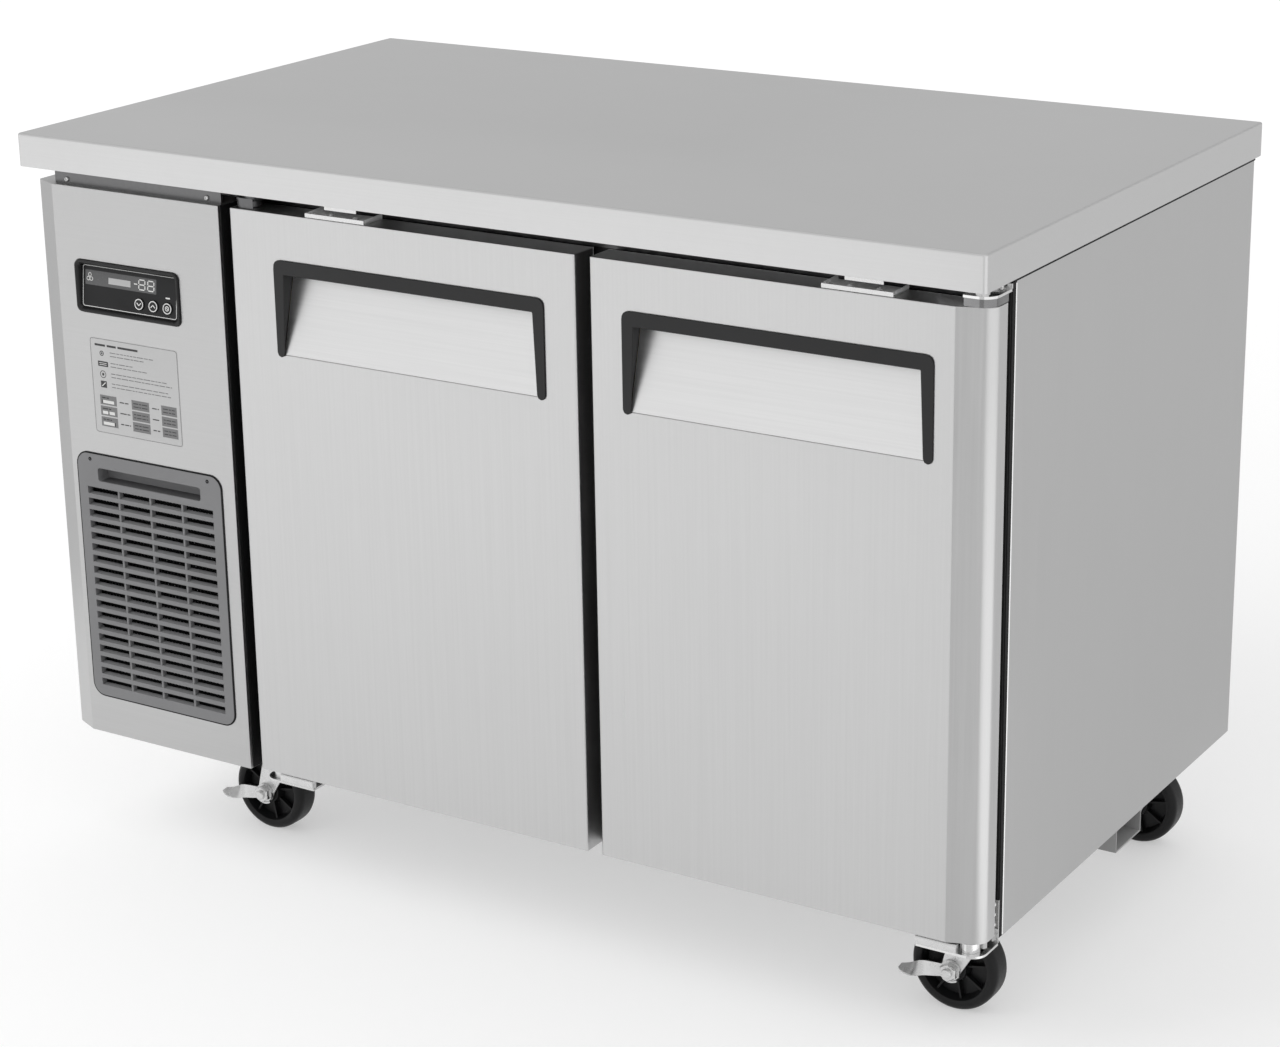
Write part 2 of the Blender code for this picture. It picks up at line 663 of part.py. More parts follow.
def build_grille():
    """Louvre grille with four columns of slots and a finger pull."""
    front = FACE - GRILLE_PROUD
    back = front + GRILLE_THICKNESS
    grille = piece("louvre_grille", prism(grille_outline(0.0), "Y", front, back), "grey_plastic")
    left = CABINET_LEFT + GRILLE_SIDE + GRILLE_MARGIN
    bottom = PANEL_BOTTOM + GRILLE_RISE + GRILLE_MARGIN
    field = GRILLE_WIDTH - 2 * GRILLE_MARGIN
    width = (field - (GRILLE_COLUMNS - 1) * GRILLE_RIB) / GRILLE_COLUMNS
    slots = []
    for row in range(GRILLE_ROWS):
        low = bottom + row * GRILLE_PITCH
        for column in range(GRILLE_COLUMNS):
            start = left + column * (width + GRILLE_RIB)
            slot_low = (start, front - CUT_PAST, low)
            slots.append((slot_low, (start + width, back + CUT_PAST, low + GRILLE_SLOT)))
    middle = CABINET_LEFT + GRILLE_SIDE + GRILLE_WIDTH / 2
    pull_top = PANEL_BOTTOM + GRILLE_RISE + GRILLE_HEIGHT - PULL_DROP
    pull_low = (middle - PULL_WIDTH / 2, front - CUT_PAST, pull_top - PULL_HEIGHT)
    slots.append((pull_low, (middle + PULL_WIDTH / 2, back + CUT_PAST, pull_top)))
    cut(grille, boxes(*slots))


def finned_block(name, low, high, fins, axis_gap):
    """Finned coil block with slots from face to face along X or Y."""
    block = piece(name, boxes((low, high)), "aluminium")
    run = 1 - axis_gap
    span = high[run] - low[run] - 2 * COIL_RIM
    width = (span - (fins - 1) * FIN_THICKNESS) / fins
    slots = []
    for index in range(fins):
        start = low[run] + COIL_RIM + index * (width + FIN_THICKNESS)
        slot_low = [0.0, 0.0, low[2] + COIL_RIM]
        slot_high = [0.0, 0.0, high[2] - COIL_RIM]
        slot_low[run] = start
        slot_high[run] = start + width
        slot_low[axis_gap] = low[axis_gap] - CUT_PAST
        slot_high[axis_gap] = high[axis_gap] + CUT_PAST
        slots.append((slot_low, slot_high))
    cut(block, boxes(*slots))


def fan_shape(radius, blades):
    """Hub and blade set about the Z axis; the blades are joined to the hub afterwards."""
    hub = turned(rod(FAN_HUB, -FAN_HUB_LENGTH / 2, FAN_HUB_LENGTH / 2), "Z", (0, 0, 0), 20)
    root = FAN_HUB - BLADE_THICKNESS * 2
    outline = [(root, -FAN_ROOT / 2), (radius, -FAN_TIP / 2), (radius, FAN_TIP / 2), (root, FAN_ROOT / 2)]
    tip_share = radius / FAN_RADIUS
    outline = [(first, second * (tip_share if first == radius else 1.0)) for first, second in outline]
    set_of_blades = bmesh.new()
    for index in range(blades):
        blade = prism(outline, "Z", -BLADE_THICKNESS / 2, BLADE_THICKNESS / 2)
        turn = Matrix.Rotation(math.tau * index / blades, 4, "Z") @ Matrix.Rotation(BLADE_PITCH, 4, "X")
        bmesh.ops.transform(blade, matrix=turn, verts=blade.verts)
        part = bpy.data.meshes.new("blade")
        blade.to_mesh(part)
        blade.free()
        set_of_blades.from_mesh(part)
    return hub, set_of_blades


def build_condenser():
    """Condenser behind the grille, and its fan in a shroud with the motor; gives the coil's far corner."""
    low = (MACHINE_LOW + TRAY_SHEET + COIL_SIDE_GAP, CABINET_FRONT + COIL_FRONT_GAP, TRAY_TOP + SEAT)
    right = MACHINE_HIGH - TRAY_SHEET - COIL_SIDE_GAP
    high = (right, low[1] + COIL_DEPTH, low[2] + COIL_HEIGHT)
    finned_block("condenser_coil", low, high, COIL_FINS, axis_gap=1)

    front = high[1] + SEAT
    back = front + SHROUD_DEPTH
    centre = ((low[0] + high[0]) / 2, (front + back) / 2, (low[2] + high[2]) / 2)
    plate = boxes(((low[0], front, low[2]), (high[0], back, high[2])))
    shroud = piece("condenser_fan_shroud", plate, "black_paint")
    hole = FAN_RADIUS + FAN_TIP_GAP
    cut(shroud, turned(rod(hole, -SHROUD_DEPTH, SHROUD_DEPTH), "Y", centre, 36))
    motor_front = back + FAN_SIDE_GAP
    strap_low = (centre[0] - hole - MOTOR_STRAP, motor_front, centre[2] - MOTOR_STRAP / 2)
    strap_high = (centre[0] + hole + MOTOR_STRAP, motor_front + STRAP_THICKNESS, centre[2] + MOTOR_STRAP / 2)
    join(shroud, boxes((strap_low, strap_high)))
    feet = []
    for side in (-1, 1):
        inner = centre[0] + side * (hole + RUNNING_GAP)
        outer = centre[0] + side * (hole + MOTOR_STRAP)
        foot_low = (min(inner, outer), back - SHROUD_DEPTH / 2, strap_low[2])
        feet.append((foot_low, (max(inner, outer), strap_high[1], strap_high[2])))
    join(shroud, boxes(*feet))
    can_front = motor_front + STRAP_THICKNESS / 2 - centre[1]
    join(shroud, turned(rod(MOTOR_RADIUS, can_front, can_front + MOTOR_LENGTH), "Y", centre, 20))
    shaft = rod(SHAFT_RADIUS, FAN_HUB_LENGTH / 2 + SEAT, can_front)
    join(shroud, turned(shaft, "Y", centre, 12))

    axis = pivot("condenser_fan_axis", centre, rotation=(math.radians(-90.0), 0.0, 0.0))
    hub, blades = fan_shape(FAN_RADIUS, FAN_BLADES)
    fan = piece("condenser_fan", hub, "black_plastic", parent=axis, smooth=True)
    join(fan, blades)
    return high


def build_compressor(coil_high):
    """Hermetic compressor on its foot plate, and the tube from it to the condenser."""
    middle = ((MACHINE_LOW + MACHINE_HIGH) / 2, CABINET_BACK - COMPRESSOR_BACK_GAP - COMPRESSOR_RADIUS)
    base = TRAY_TOP + SEAT
    reach = COMPRESSOR_RADIUS + FOOT_OVERHANG
    plate_low = (middle[0] - reach, middle[1] - reach, base)
    plate_high = (middle[0] + reach, middle[1] + reach, base + FOOT_PLATE)
    compressor = piece("compressor", boxes((plate_low, plate_high)), "black_paint", smooth=True)
    crown = COMPRESSOR_CROWN
    waist = COMPRESSOR_HEIGHT - crown
    radius = COMPRESSOR_RADIUS
    profile = [(0.0, FOOT_PLATE / 2), (radius - crown / 3, FOOT_PLATE / 2), (radius, crown)]
    profile += soft_corner((radius, waist), (radius, COMPRESSOR_HEIGHT), (0.0, COMPRESSOR_HEIGHT), 5)
    join(compressor, turned(profile, "Z", (middle[0], middle[1], base), 24))

    start = base + COMPRESSOR_HEIGHT + SEAT
    end = coil_high[2] + SEAT
    right = coil_high[0] - COIL_RIM
    coil_y = coil_high[1] - COIL_DEPTH / 2
    bend = TUBE_BEND
    route = [(middle[0], middle[1], start + bend * share) for share in (0.0, 0.5, 1.0)]
    route.append((middle[0] + bend, middle[1] - bend, start + bend * 2))
    route.append((right, middle[1] - bend * 4, end + bend * 2))
    route.append((right, coil_y + bend, end + bend * 2))
    route += [(right, coil_y, end + bend * share) for share in (1.0, 0.5, 0.0)]
    piece("discharge_tube", tube_shape(route, TUBE_RADIUS), "copper", smooth=True)


def tube_shape(route, radius, sides=8, steps=3):
    """Closed round tube along a smooth curve through a few points."""
    count = len(route)
    smooth = []
    for index in range(count - 1):
        points = [Vector(route[max(0, min(count - 1, index + offset))]) for offset in (-1, 0, 1, 2)]
        before, start, end, after = points
        for step in range(steps):
            share = step / steps
            turn_in = (end - before) / 2
            turn_out = (after - start) / 2
            square = share * share
            cube = square * share
            spot = start * (2 * cube - 3 * square + 1) + turn_in * (cube - 2 * square + share)
            smooth.append(spot + end * (3 * square - 2 * cube) + turn_out * (cube - square))
    smooth.append(Vector(route[-1]))
    shape = bmesh.new()
    rings = []
    side = Vector((1.0, 0.0, 0.0))
    for index, spot in enumerate(smooth):
        ahead = (smooth[min(index + 1, len(smooth) - 1)] - smooth[max(index - 1, 0)]).normalized()
        side = (side - ahead * side.dot(ahead)).normalized()
        up = ahead.cross(side)
        ring = []
        for corner in range(sides):
            angle = math.tau * corner / sides
            ring.append(shape.verts.new(spot + radius * (side * math.cos(angle) + up * math.sin(angle))))
        rings.append(ring)
    shape.faces.new(rings[0])
    shape.faces.new(list(reversed(rings[-1])))
    for lower, upper in zip(rings, rings[1:]):
        for corner in range(sides):
            after = (corner + 1) % sides
            shape.faces.new((lower[after], lower[corner], upper[corner], upper[after]))
    return shape


def build_evaporator():
    """Evaporator coil and fan under a cover on the storage box's left wall."""
    wall = INSIDE_LOW[0] + SEAT
    back = INSIDE_HIGH[1] - EVAPORATOR_BACK_GAP
    low = (wall, back - EVAPORATOR_LENGTH, EVAPORATOR_BOTTOM)
    high = (wall + EVAPORATOR_DEPTH, back, EVAPORATOR_TOP)
    cover = piece("evaporator_cover", boxes((low, high)), "white_plastic")
    hollow_low = (low[0] - CUT_PAST, low[1] + SHEET, low[2] + SHEET)
    hollow_high = tuple(value - SHEET for value in high)
    cut(cover, boxes((hollow_low, hollow_high)))
    hole = EVAPORATOR_FAN_RADIUS + FAN_TIP_GAP
    centre = (high[0] - FAN_HALF_DEPTH, low[1] + hole + MOTOR_STRAP, (low[2] + high[2]) / 2)
    cut(cover, turned(rod(hole, 0.0, FAN_HALF_DEPTH + CUT_PAST), "X", centre, 32))

    coil_low = (wall, back - SHEET - SEAT - EVAPORATOR_COIL_LENGTH, low[2] + SHEET + SEAT)
    coil_high = (high[0] - SHEET - SEAT, back - SHEET - SEAT, high[2] - SHEET - SEAT)
    finned_block("evaporator_coil", coil_low, coil_high, EVAPORATOR_FINS, axis_gap=0)

    face = high[0] - SHEET - SEAT
    strap_x = centre[0] - FAN_HALF_DEPTH - FAN_SIDE_GAP - STRAP_THICKNESS
    reach = hole + MOTOR_STRAP
    strap_low = (strap_x, centre[1] - MOTOR_STRAP / 2, centre[2] - reach)
    strap_high = (strap_x + STRAP_THICKNESS, centre[1] + MOTOR_STRAP / 2, centre[2] + reach)
    motor = piece("evaporator_fan_motor", boxes((strap_low, strap_high)), "black_paint", smooth=True)
    feet = []
    for side in (-1, 1):
        inner = centre[2] + side * (hole + RUNNING_GAP)
        outer = centre[2] + side * reach
        foot_low = (strap_x, strap_low[1], min(inner, outer))
        feet.append((foot_low, (face, strap_high[1], max(inner, outer))))
    join(motor, boxes(*feet))
    can_front = strap_x + STRAP_THICKNESS / 2 - centre[0]
    can = rod(SMALL_MOTOR_RADIUS, wall + SMALL_MOTOR_BACK_GAP - centre[0], can_front)
    join(motor, turned(can, "X", centre, 20))
    shaft = rod(SHAFT_RADIUS, can_front, -FAN_HUB_LENGTH / 2 - SEAT)
    join(motor, turned(shaft, "X", centre, 12))

    axis = pivot("evaporator_fan_axis", centre, rotation=(0.0, math.radians(90.0), 0.0))
    hub, blades = fan_shape(EVAPORATOR_FAN_RADIUS, FAN_BLADES)
    fan = piece("evaporator_fan", hub, "black_plastic", parent=axis, smooth=True)
    join(fan, blades)


# Control panel

def bezel_outline(shrink):
    """Rounded outline of the control bezel, moved inwards by a distance."""
    left = CABINET_LEFT + BEZEL_SIDE
    top = DOOR_TOP - BEZEL_DROP
    low = (left + shrink, top - BEZEL_HEIGHT + shrink)
    high = (left + BEZEL_WIDTH - shrink, top - shrink)
    return rounded_rectangle(low, high, BEZEL_CORNER - min(shrink, BEZEL_CORNER / 2))


def build_controls():
    """Bezel, tilted display panel and three sprung buttons."""
    front = FACE - BEZEL_PROUD
    rear = front + BEZEL_DEPTH
    bezel = piece("control_bezel", prism(bezel_outline(0.0), "Y", front, rear), "black_plastic")
    cut(bezel, prism(bezel_outline(BEZEL_RIM), "Y", front - CUT_PAST, rear + CUT_PAST))
    middle = CABINET_LEFT + BEZEL_SIDE + BEZEL_WIDTH / 2
    height = DOOR_TOP - BEZEL_DROP - BEZEL_HEIGHT / 2
    spot = (middle, front + DISPLAY_RECESS, height)
    tilted = pivot("display_origin", spot, rotation=(-DISPLAY_TILT, 0.0, 0.0))
    half_width = BEZEL_WIDTH / 2 - BEZEL_RIM - RUNNING_GAP
    half_height = BEZEL_HEIGHT / 2 - BEZEL_RIM - RUNNING_GAP
    outline = rounded_rectangle((-half_width, -half_height), (half_width, half_height), BEZEL_CORNER / 2)
    display = piece("display_panel", prism(outline, "Y", 0.0, DISPLAY_SHEET), "smoked_plastic", parent=tilted)
    for index, name in enumerate(("mode_button", "up_button", "down_button")):
        across = half_width - BUTTON_FROM_RIGHT - index * BUTTON_SPACING
        up = -half_height + BUTTON_RISE
        hole = rod(BUTTON_RADIUS + RUNNING_GAP, -CUT_PAST, CUT_PAST)
        cut(display, turned(hole, "Y", (across, 0.0, up), 20))
        seat = pivot(f"{name}_axis", (across, 0.0, up), parent=tilted)
        rim = BUTTON_PROUD / 3
        tail = BUTTON_LENGTH - BUTTON_PROUD
        profile = [(0.0, -BUTTON_PROUD), (BUTTON_RADIUS - rim, -BUTTON_PROUD)]
        profile += [(BUTTON_RADIUS, rim - BUTTON_PROUD), (BUTTON_RADIUS, tail), (0.0, tail)]
        piece(name, turned(profile, "Y", (0, 0, 0), 20), "button_plastic", parent=seat, smooth=True)


# Doors

def door_outline(mirror, rounded):
    """Door seen from above, about its hinge pin; only the end door has the faceted, rounded hinge end."""
    hinge = -PIVOT_INSET
    free = DOOR_WIDTH - PIVOT_INSET
    face = -PIVOT_DEPTH
    back = DOOR_THICKNESS - PIVOT_DEPTH
    soft = DOOR_CORNER
    points = [(hinge, back), (free, back)]
    points += soft_corner((free, face + soft), (free, face), (free - soft, face), 3)
    if rounded:
        slope = FACET_FALL / (FACET_START - FACET_END)
        points.append((hinge + FACET_START, face))
        edge = (hinge + FACET_END, face + FACET_FALL)
        control = (hinge, face + FACET_FALL + slope * FACET_END)
        points += soft_corner(edge, control, (hinge, face + FACET_FALL + ROUND_DEPTH), 5)
    else:
        points += soft_corner((hinge + soft, face), (hinge, face), (hinge, face + soft), 3)
    return [(first * mirror, second) for first, second in points]


def span(mirror, low, high):
    """Pair of limits along the door, in rising order after mirroring."""
    return tuple(sorted((low * mirror, high * mirror)))


def build_door(side, mirror, rounded):
    """One door: pan, foam, inner liner, gasket, handle and check rail."""
    hinge_x = LEFT_DOOR_HINGE if mirror > 0 else CABINET_RIGHT
    axis = pivot(f"{side}_door_axis", (hinge_x + PIVOT_INSET * mirror, PIVOT_Y, 0.0))
    outline = door_outline(mirror, rounded)
    back = DOOR_THICKNESS - PIVOT_DEPTH
    free = DOOR_WIDTH - PIVOT_INSET

    skin = piece(f"{side}_door_skin", prism(outline, "Z", DOOR_BOTTOM, DOOR_TOP), "steel", axis, smooth=True)
    cut(skin, prism(open_back(outline, SHEET, back), "Z", DOOR_BOTTOM + SHEET, DOOR_TOP - SHEET))

    gap = SHEET + SEAT
    foam_back = back - DOOR_LINER - SEAT
    core = [(first, min(second, foam_back)) for first, second in inset(outline, gap)]
    foam = piece(f"{side}_door_insulation", prism(core, "Z", DOOR_BOTTOM + gap, DOOR_TOP - gap), "foam", axis)

    pins = bmesh.new()
    for middle in (DOOR_TOP, DOOR_BOTTOM):
        depth = PIN_DEPTH + RUNNING_GAP
        turned_into(pins, rod(PIN_HOLE, -depth, depth), "Z", (0, 0, middle), 20)
    for target in (skin, foam):
        cut(target, pins.copy())
    pins.free()

    build_door_liner(side, mirror, axis, back, free, gap)
    build_handle(side, mirror, axis, free, (skin, foam))
    build_check_rail(side, mirror, axis)


def build_door_liner(side, mirror, axis, back, free, gap):
    """Inner liner with a raised dyke, and the gasket round it."""
    low_u, high_u = span(mirror, -PIVOT_INSET + gap, free - gap)
    plate = ((low_u, back - DOOR_LINER, DOOR_BOTTOM + gap), (high_u, back, DOOR_TOP - gap))
    liner = piece(f"{side}_door_liner", boxes(plate), "white_plastic", axis)
    seal_hinge = GASKET_MARGIN
    seal_free = free - GASKET_MARGIN
    seal_low = DOOR_BOTTOM + GASKET_MARGIN
    seal_high = DOOR_TOP - GASKET_MARGIN
    inner = GASKET_WIDTH + DYKE_MARGIN
    low_u, high_u = span(mirror, seal_hinge + inner, seal_free - inner)
    low = (low_u, back - DOOR_LINER / 2, seal_low + inner)
    high = (high_u, back + DYKE_HEIGHT, seal_high - inner)
    join(liner, boxes((low, high)))
    recess_low = (low[0] + DYKE_WIDTH, back, low[2] + DYKE_WIDTH)
    recess_high = (high[0] - DYKE_WIDTH, back + CUT_PAST, high[2] - DYKE_WIDTH)
    cut(liner, boxes((recess_low, recess_high)))

    low_u, high_u = span(mirror, seal_hinge, seal_free)
    low = (low_u, back + SEAT, seal_low)
    high = (high_u, back + GASKET_SPACE - SEAT, seal_high)
    gasket = piece(f"{side}_door_gasket", boxes((low, high)), "rubber", axis)
    open_low = (low[0] + GASKET_WIDTH, low[1] - CUT_PAST, low[2] + GASKET_WIDTH)
    open_high = (high[0] - GASKET_WIDTH, high[1] + CUT_PAST, high[2] - GASKET_WIDTH)
    cut(gasket, boxes((open_low, open_high)))


def handle_outline(low_u, high_u, bottom, top):
    """Outline of the handle's surround: a bar above and two tapering legs with round ends."""
    bend = HANDLE_CORNER
    bar = top - HANDLE_BAR
    end = HANDLE_LEG_END / 2
    points = soft_corner((low_u, top - bend), (low_u, top), (low_u + bend, top), 4)
    points += soft_corner((high_u - bend, top), (high_u, top), (high_u, top - bend), 4)
    points += leg_end(high_u - end, bottom, end)
    points += [(high_u - HANDLE_LEG_TOP, bar), (low_u + HANDLE_LEG_TOP, bar)]
    points += leg_end(low_u + end, bottom, end)
    return points


def leg_end(middle, bottom, radius):
    """Round lower end of a leg, from its right side to its left."""
    points = []
    for step in range(5):
        angle = math.radians(-180.0 * step / 4)
        points.append((middle + radius * math.cos(angle), bottom + radius + radius * math.sin(angle)))
    return points


def build_handle(side, mirror, axis, free, walls):
    """Black surround and bright sloping scoop, let into the door's pan and foam."""
    face = -PIVOT_DEPTH
    top = DOOR_TOP - HANDLE_DROP
    bottom = top - HANDLE_HEIGHT
    near = free - HANDLE_FREE_EDGE
    low_u, high_u = span(mirror, near - HANDLE_WIDTH, near)
    hole_low = low_u + HANDLE_LAP
    hole_high = high_u - HANDLE_LAP
    hole_top = top - HANDLE_LAP
    hole_bottom = bottom + HANDLE_FOOT
    behind = face + POCKET_DEPTH
    wall = HANDLE_WALL

    flange = prism(handle_outline(low_u, high_u, bottom, top), "Y", face - HANDLE_PROUD, face - SEAT)
    surround = piece(f"{side}_door_handle_surround", flange, "black_plastic", axis)
    root = face - HANDLE_PROUD / 2
    roof = hole_top - SEAT
    slope = [(root, hole_bottom + SEAT), (root, roof), (behind, roof), (behind, roof - wall)]
    slope.append((face, hole_bottom + SEAT))
    cheeks = bmesh.new()
    prism_into(cheeks, slope, "X", hole_low + SEAT, hole_low + SEAT + wall)
    prism_into(cheeks, slope, "X", hole_high - SEAT - wall, hole_high - SEAT)
    join(surround, cheeks)
    roof_low = (hole_low + SEAT + wall / 2, root, roof - wall)
    join(surround, boxes((roof_low, (hole_high - SEAT - wall / 2, behind, roof))))

    inside = SEAT * 2 + wall
    scoop_top = roof - wall - SEAT
    run = behind - face
    rise = scoop_top - (hole_bottom + SEAT)
    back_shift = SCOOP_SHEET * math.hypot(run, rise) / rise
    profile = [(face, hole_bottom + SEAT), (behind - back_shift, scoop_top)]
    profile += [(behind, scoop_top), (face + back_shift, hole_bottom + SEAT)]
    scoop = prism(profile, "X", hole_low + inside, hole_high - inside)
    piece(f"{side}_door_handle_scoop", scoop, "bright_steel", axis)

    skin, foam = walls
    cut(skin, boxes(((hole_low, face - CUT_PAST, hole_bottom), (hole_high, face + SHEET * 2, hole_top))))
    clear = SEAT * 2
    pocket = [(face - CUT_PAST, hole_bottom), (face + back_shift + clear, hole_bottom)]
    pocket += [(behind + clear, scoop_top), (behind + clear, hole_top), (face - CUT_PAST, hole_top)]
    cut(foam, prism(pocket, "X", hole_low, hole_high))


def build_check_rail(side, mirror, axis):
    """Shallow tray on the door's top edge, with a raised lip at the front and ends."""
    start = RAIL_FROM_HINGE - PIVOT_INSET
    low_u, high_u = span(mirror, start, start + RAIL_LENGTH)
    front = -PIVOT_DEPTH + RAIL_LIP / 2
    base = DOOR_TOP + SEAT
    low = (low_u, front, base)
    high = (high_u, front + RAIL_DEPTH, base + RAIL_HEIGHT)
    rail = piece(f"{side}_door_check_rail", boxes((low, high)), "bright_steel", axis)
    inner_low = (low_u + RAIL_LIP, front + RAIL_LIP, base + RAIL_LIP)
    cut(rail, boxes((inner_low, (high_u - RAIL_LIP, high[1] + CUT_PAST, high[2] + CUT_PAST))))


def build_hinge_brackets(side, mirror):
    """Top and bottom brackets, each with a pin, a washer and a leg on the cabinet's front."""
    hinge_x = LEFT_DOOR_HINGE if mirror > 0 else CABINET_RIGHT
    axis = pivot(f"{side}_bracket_origin", (hinge_x + PIVOT_INSET * mirror, PIVOT_Y, 0.0))
    front = -PIVOT_DEPTH + BRACKET_MARGIN
    cabinet = CABINET_FRONT - PIVOT_Y - SEAT
    hinge = -PIVOT_INSET
    far = hinge + BRACKET_LENGTH
    bend = BRACKET_CORNER
    outline = [(hinge, cabinet), (far, cabinet), (far, front)]
    outline += soft_corner((hinge + bend, front), (hinge, front), (hinge, front + bend), 4)
    outline = [(first * mirror, second) for first, second in outline]
    for level, sign in (("top", 1), ("bottom", -1)):
        door_end = DOOR_TOP if sign > 0 else DOOR_BOTTOM
        near = door_end + sign * WASHER_HEIGHT
        far_side = near + sign * BRACKET_PLATE
        low, high = sorted((near, far_side))
        bracket = piece(f"{side}_{level}_hinge_bracket", prism(outline, "Z", low, high), "zinc", axis)
        inside = near + sign * BRACKET_PLATE / 2
        washer = sorted((door_end + sign * SEAT, inside))
        join(bracket, turned(rod(WASHER_RADIUS, *washer), "Z", (0, 0, 0), 20))
        pin = sorted((door_end - sign * PIN_DEPTH, inside))
        join(bracket, turned(rod(PIN_RADIUS, *pin), "Z", (0, 0, 0), 20))
        if sign > 0:
            leg_u = span(mirror, hinge, far)
            leg_z = (low + BRACKET_PLATE / 2, CABINET_TOP - BRACKET_MARGIN)
        else:
            leg_u = span(mirror, hinge, hinge + BRACKET_LEG_WIDTH)
            leg_z = (low + BRACKET_PLATE / 2, low + BRACKET_LEG_RISE)
        leg_low = (leg_u[0], cabinet - BRACKET_LEG, leg_z[0])
        join(bracket, boxes((leg_low, (leg_u[1], cabinet, leg_z[1]))))


# Casters

def build_caster(name, swivel_x, swivel_y, braked):
    """Top plate, swivel fork with its axle, wheel and, at the front, a brake lever."""
    plate_top = CABINET_BOTTOM - SEAT
    plate_bottom = plate_top - CASTER_PLATE
    swivel = pivot(f"{name}_swivel_axis", (swivel_x, swivel_y, 0.0))
    half = (CASTER_PLATE_LENGTH / 2, CASTER_PLATE_WIDTH / 2)
    outline = rounded_rectangle((-half[0], -half[1]), half, CASTER_PLATE_CORNER)
    piece(f"{name}_plate", prism(outline, "Z", plate_bottom, plate_top), "zinc", swivel)

    leg_in = WHEEL_WIDTH / 2 + FORK_SIDE_GAP
    leg_out = leg_in + FORK_SHEET
    bridge = AXLE_HEIGHT + WHEEL_RADIUS + FORK_TOP_GAP
    axle_x = -CASTER_TRAIL
    low = (-FORK_HALF_LENGTH, -leg_out, bridge)
    high = (FORK_HALF_LENGTH, leg_out, bridge + FORK_SHEET)
    fork = piece(f"{name}_fork", boxes((low, high)), "zinc", swivel)
    ear = FORK_EAR
    legs = bmesh.new()
    top = bridge + FORK_SHEET / 2
    outline = [(-FORK_HALF_LENGTH, top), (FORK_HALF_LENGTH, top), (FORK_HALF_LENGTH, bridge - ear)]
    outline += leg_end(axle_x, AXLE_HEIGHT - ear, ear)
    for inner, outer in ((-leg_out, -leg_in), (leg_in, leg_out)):
        prism_into(legs, outline, "Y", inner, outer)
    join(fork, legs)
    race = rod(RACE_RADIUS, bridge + FORK_SHEET / 2, plate_bottom - SEAT)
    join(fork, turned(race, "Z", (0, 0, 0), 24))
    axle_spot = (axle_x, 0.0, AXLE_HEIGHT)
    nut_in = leg_out + LEVER_SHEET + 2 * SEAT
    nut_out = nut_in + NUT_LENGTH
    axle = [(0.0, -nut_out), (NUT_RADIUS, -nut_out), (NUT_RADIUS, -nut_in), (AXLE_RADIUS, -nut_in)]
    axle += [(AXLE_RADIUS, nut_in), (NUT_RADIUS, nut_in), (NUT_RADIUS, nut_out), (0.0, nut_out)]
    join(fork, turned(axle, "Y", axle_spot, 12))

    wheel_axis = pivot(f"{name}_wheel_axis", axle_spot, parent=swivel)
    phase = math.pi / WHEEL_SIDES
    wheel = turned(wheel_profile(), "Y", (0, 0, 0), WHEEL_SIDES, closed=True, phase=phase)
    piece(f"{name}_wheel", wheel, "rubber", wheel_axis, smooth=True)
    if braked:
        build_brake_lever(name, wheel_axis, leg_out + SEAT)


def wheel_profile():
    """Half section of a wheel: tread, recessed web and hub."""
    half = WHEEL_WIDTH / 2
    web = WHEEL_WEB / 2
    rim = WHEEL_RADIUS - WHEEL_RIM
    bore = AXLE_RADIUS + RUNNING_GAP
    side = [(bore, half), (WHEEL_HUB, half), (WHEEL_HUB, web), (rim, web), (rim, half)]
    side += [(WHEEL_RADIUS - WHEEL_SHOULDER, half), (WHEEL_RADIUS, half - WHEEL_SHOULDER)]
    return side + [(radius, -height) for radius, height in reversed(side)]


def build_brake_lever(name, axle, inner):
    """Pressed lever with an eye on the axle and a bent foot plate."""
    points = []
    for step in range(9):
        angle = math.radians(-110.0 + 220.0 * step / 8)
        points.append((LEVER_EYE * math.cos(angle), LEVER_EYE * math.sin(angle)))
    for step in range(5):
        angle = math.radians(110.0 + 140.0 * step / 4)
        points.append((-LEVER_LENGTH + LEVER_END * math.cos(angle), LEVER_END * math.sin(angle)))
    turn = Matrix.Rotation(LEVER_DROOP, 2)
    outline = [tuple(turn @ Vector(point)) for point in points]
    lever = piece(f"{name}_brake", prism(outline, "Y", -inner - LEVER_SHEET, -inner), "zinc", axle)
    eye = rod(AXLE_RADIUS + RUNNING_GAP, -inner - CUT_PAST, -inner + CUT_PAST)
    cut(lever, turned(eye, "Y", (0, 0, 0), 20))
    drop = -LEVER_LENGTH * math.sin(LEVER_DROOP)
    reach = -LEVER_LENGTH * math.cos(LEVER_DROOP)
    foot_low = (reach - LEVER_END / 2, -inner - LEVER_FOOT, drop - LEVER_SHEET / 2)
    foot_high = (reach + LEVER_END, -inner - LEVER_SHEET / 2, drop + LEVER_SHEET / 2)
    join(lever, boxes((foot_low, foot_high)))


def build_casters():
    """Four casters, braked at the front."""
    left = CABINET_LEFT + LEFT_CASTERS_IN
    right = CABINET_RIGHT - RIGHT_CASTERS_IN
    front = CABINET_FRONT + FRONT_CASTERS_IN
    back = CABINET_BACK - BACK_CASTERS_IN
    build_caster("front_left_caster", left, front, braked=True)
    build_caster("front_right_caster", right, front, braked=True)
    build_caster("back_left_caster", left, back, braked=False)
    build_caster("back_right_caster", right, back, braked=False)


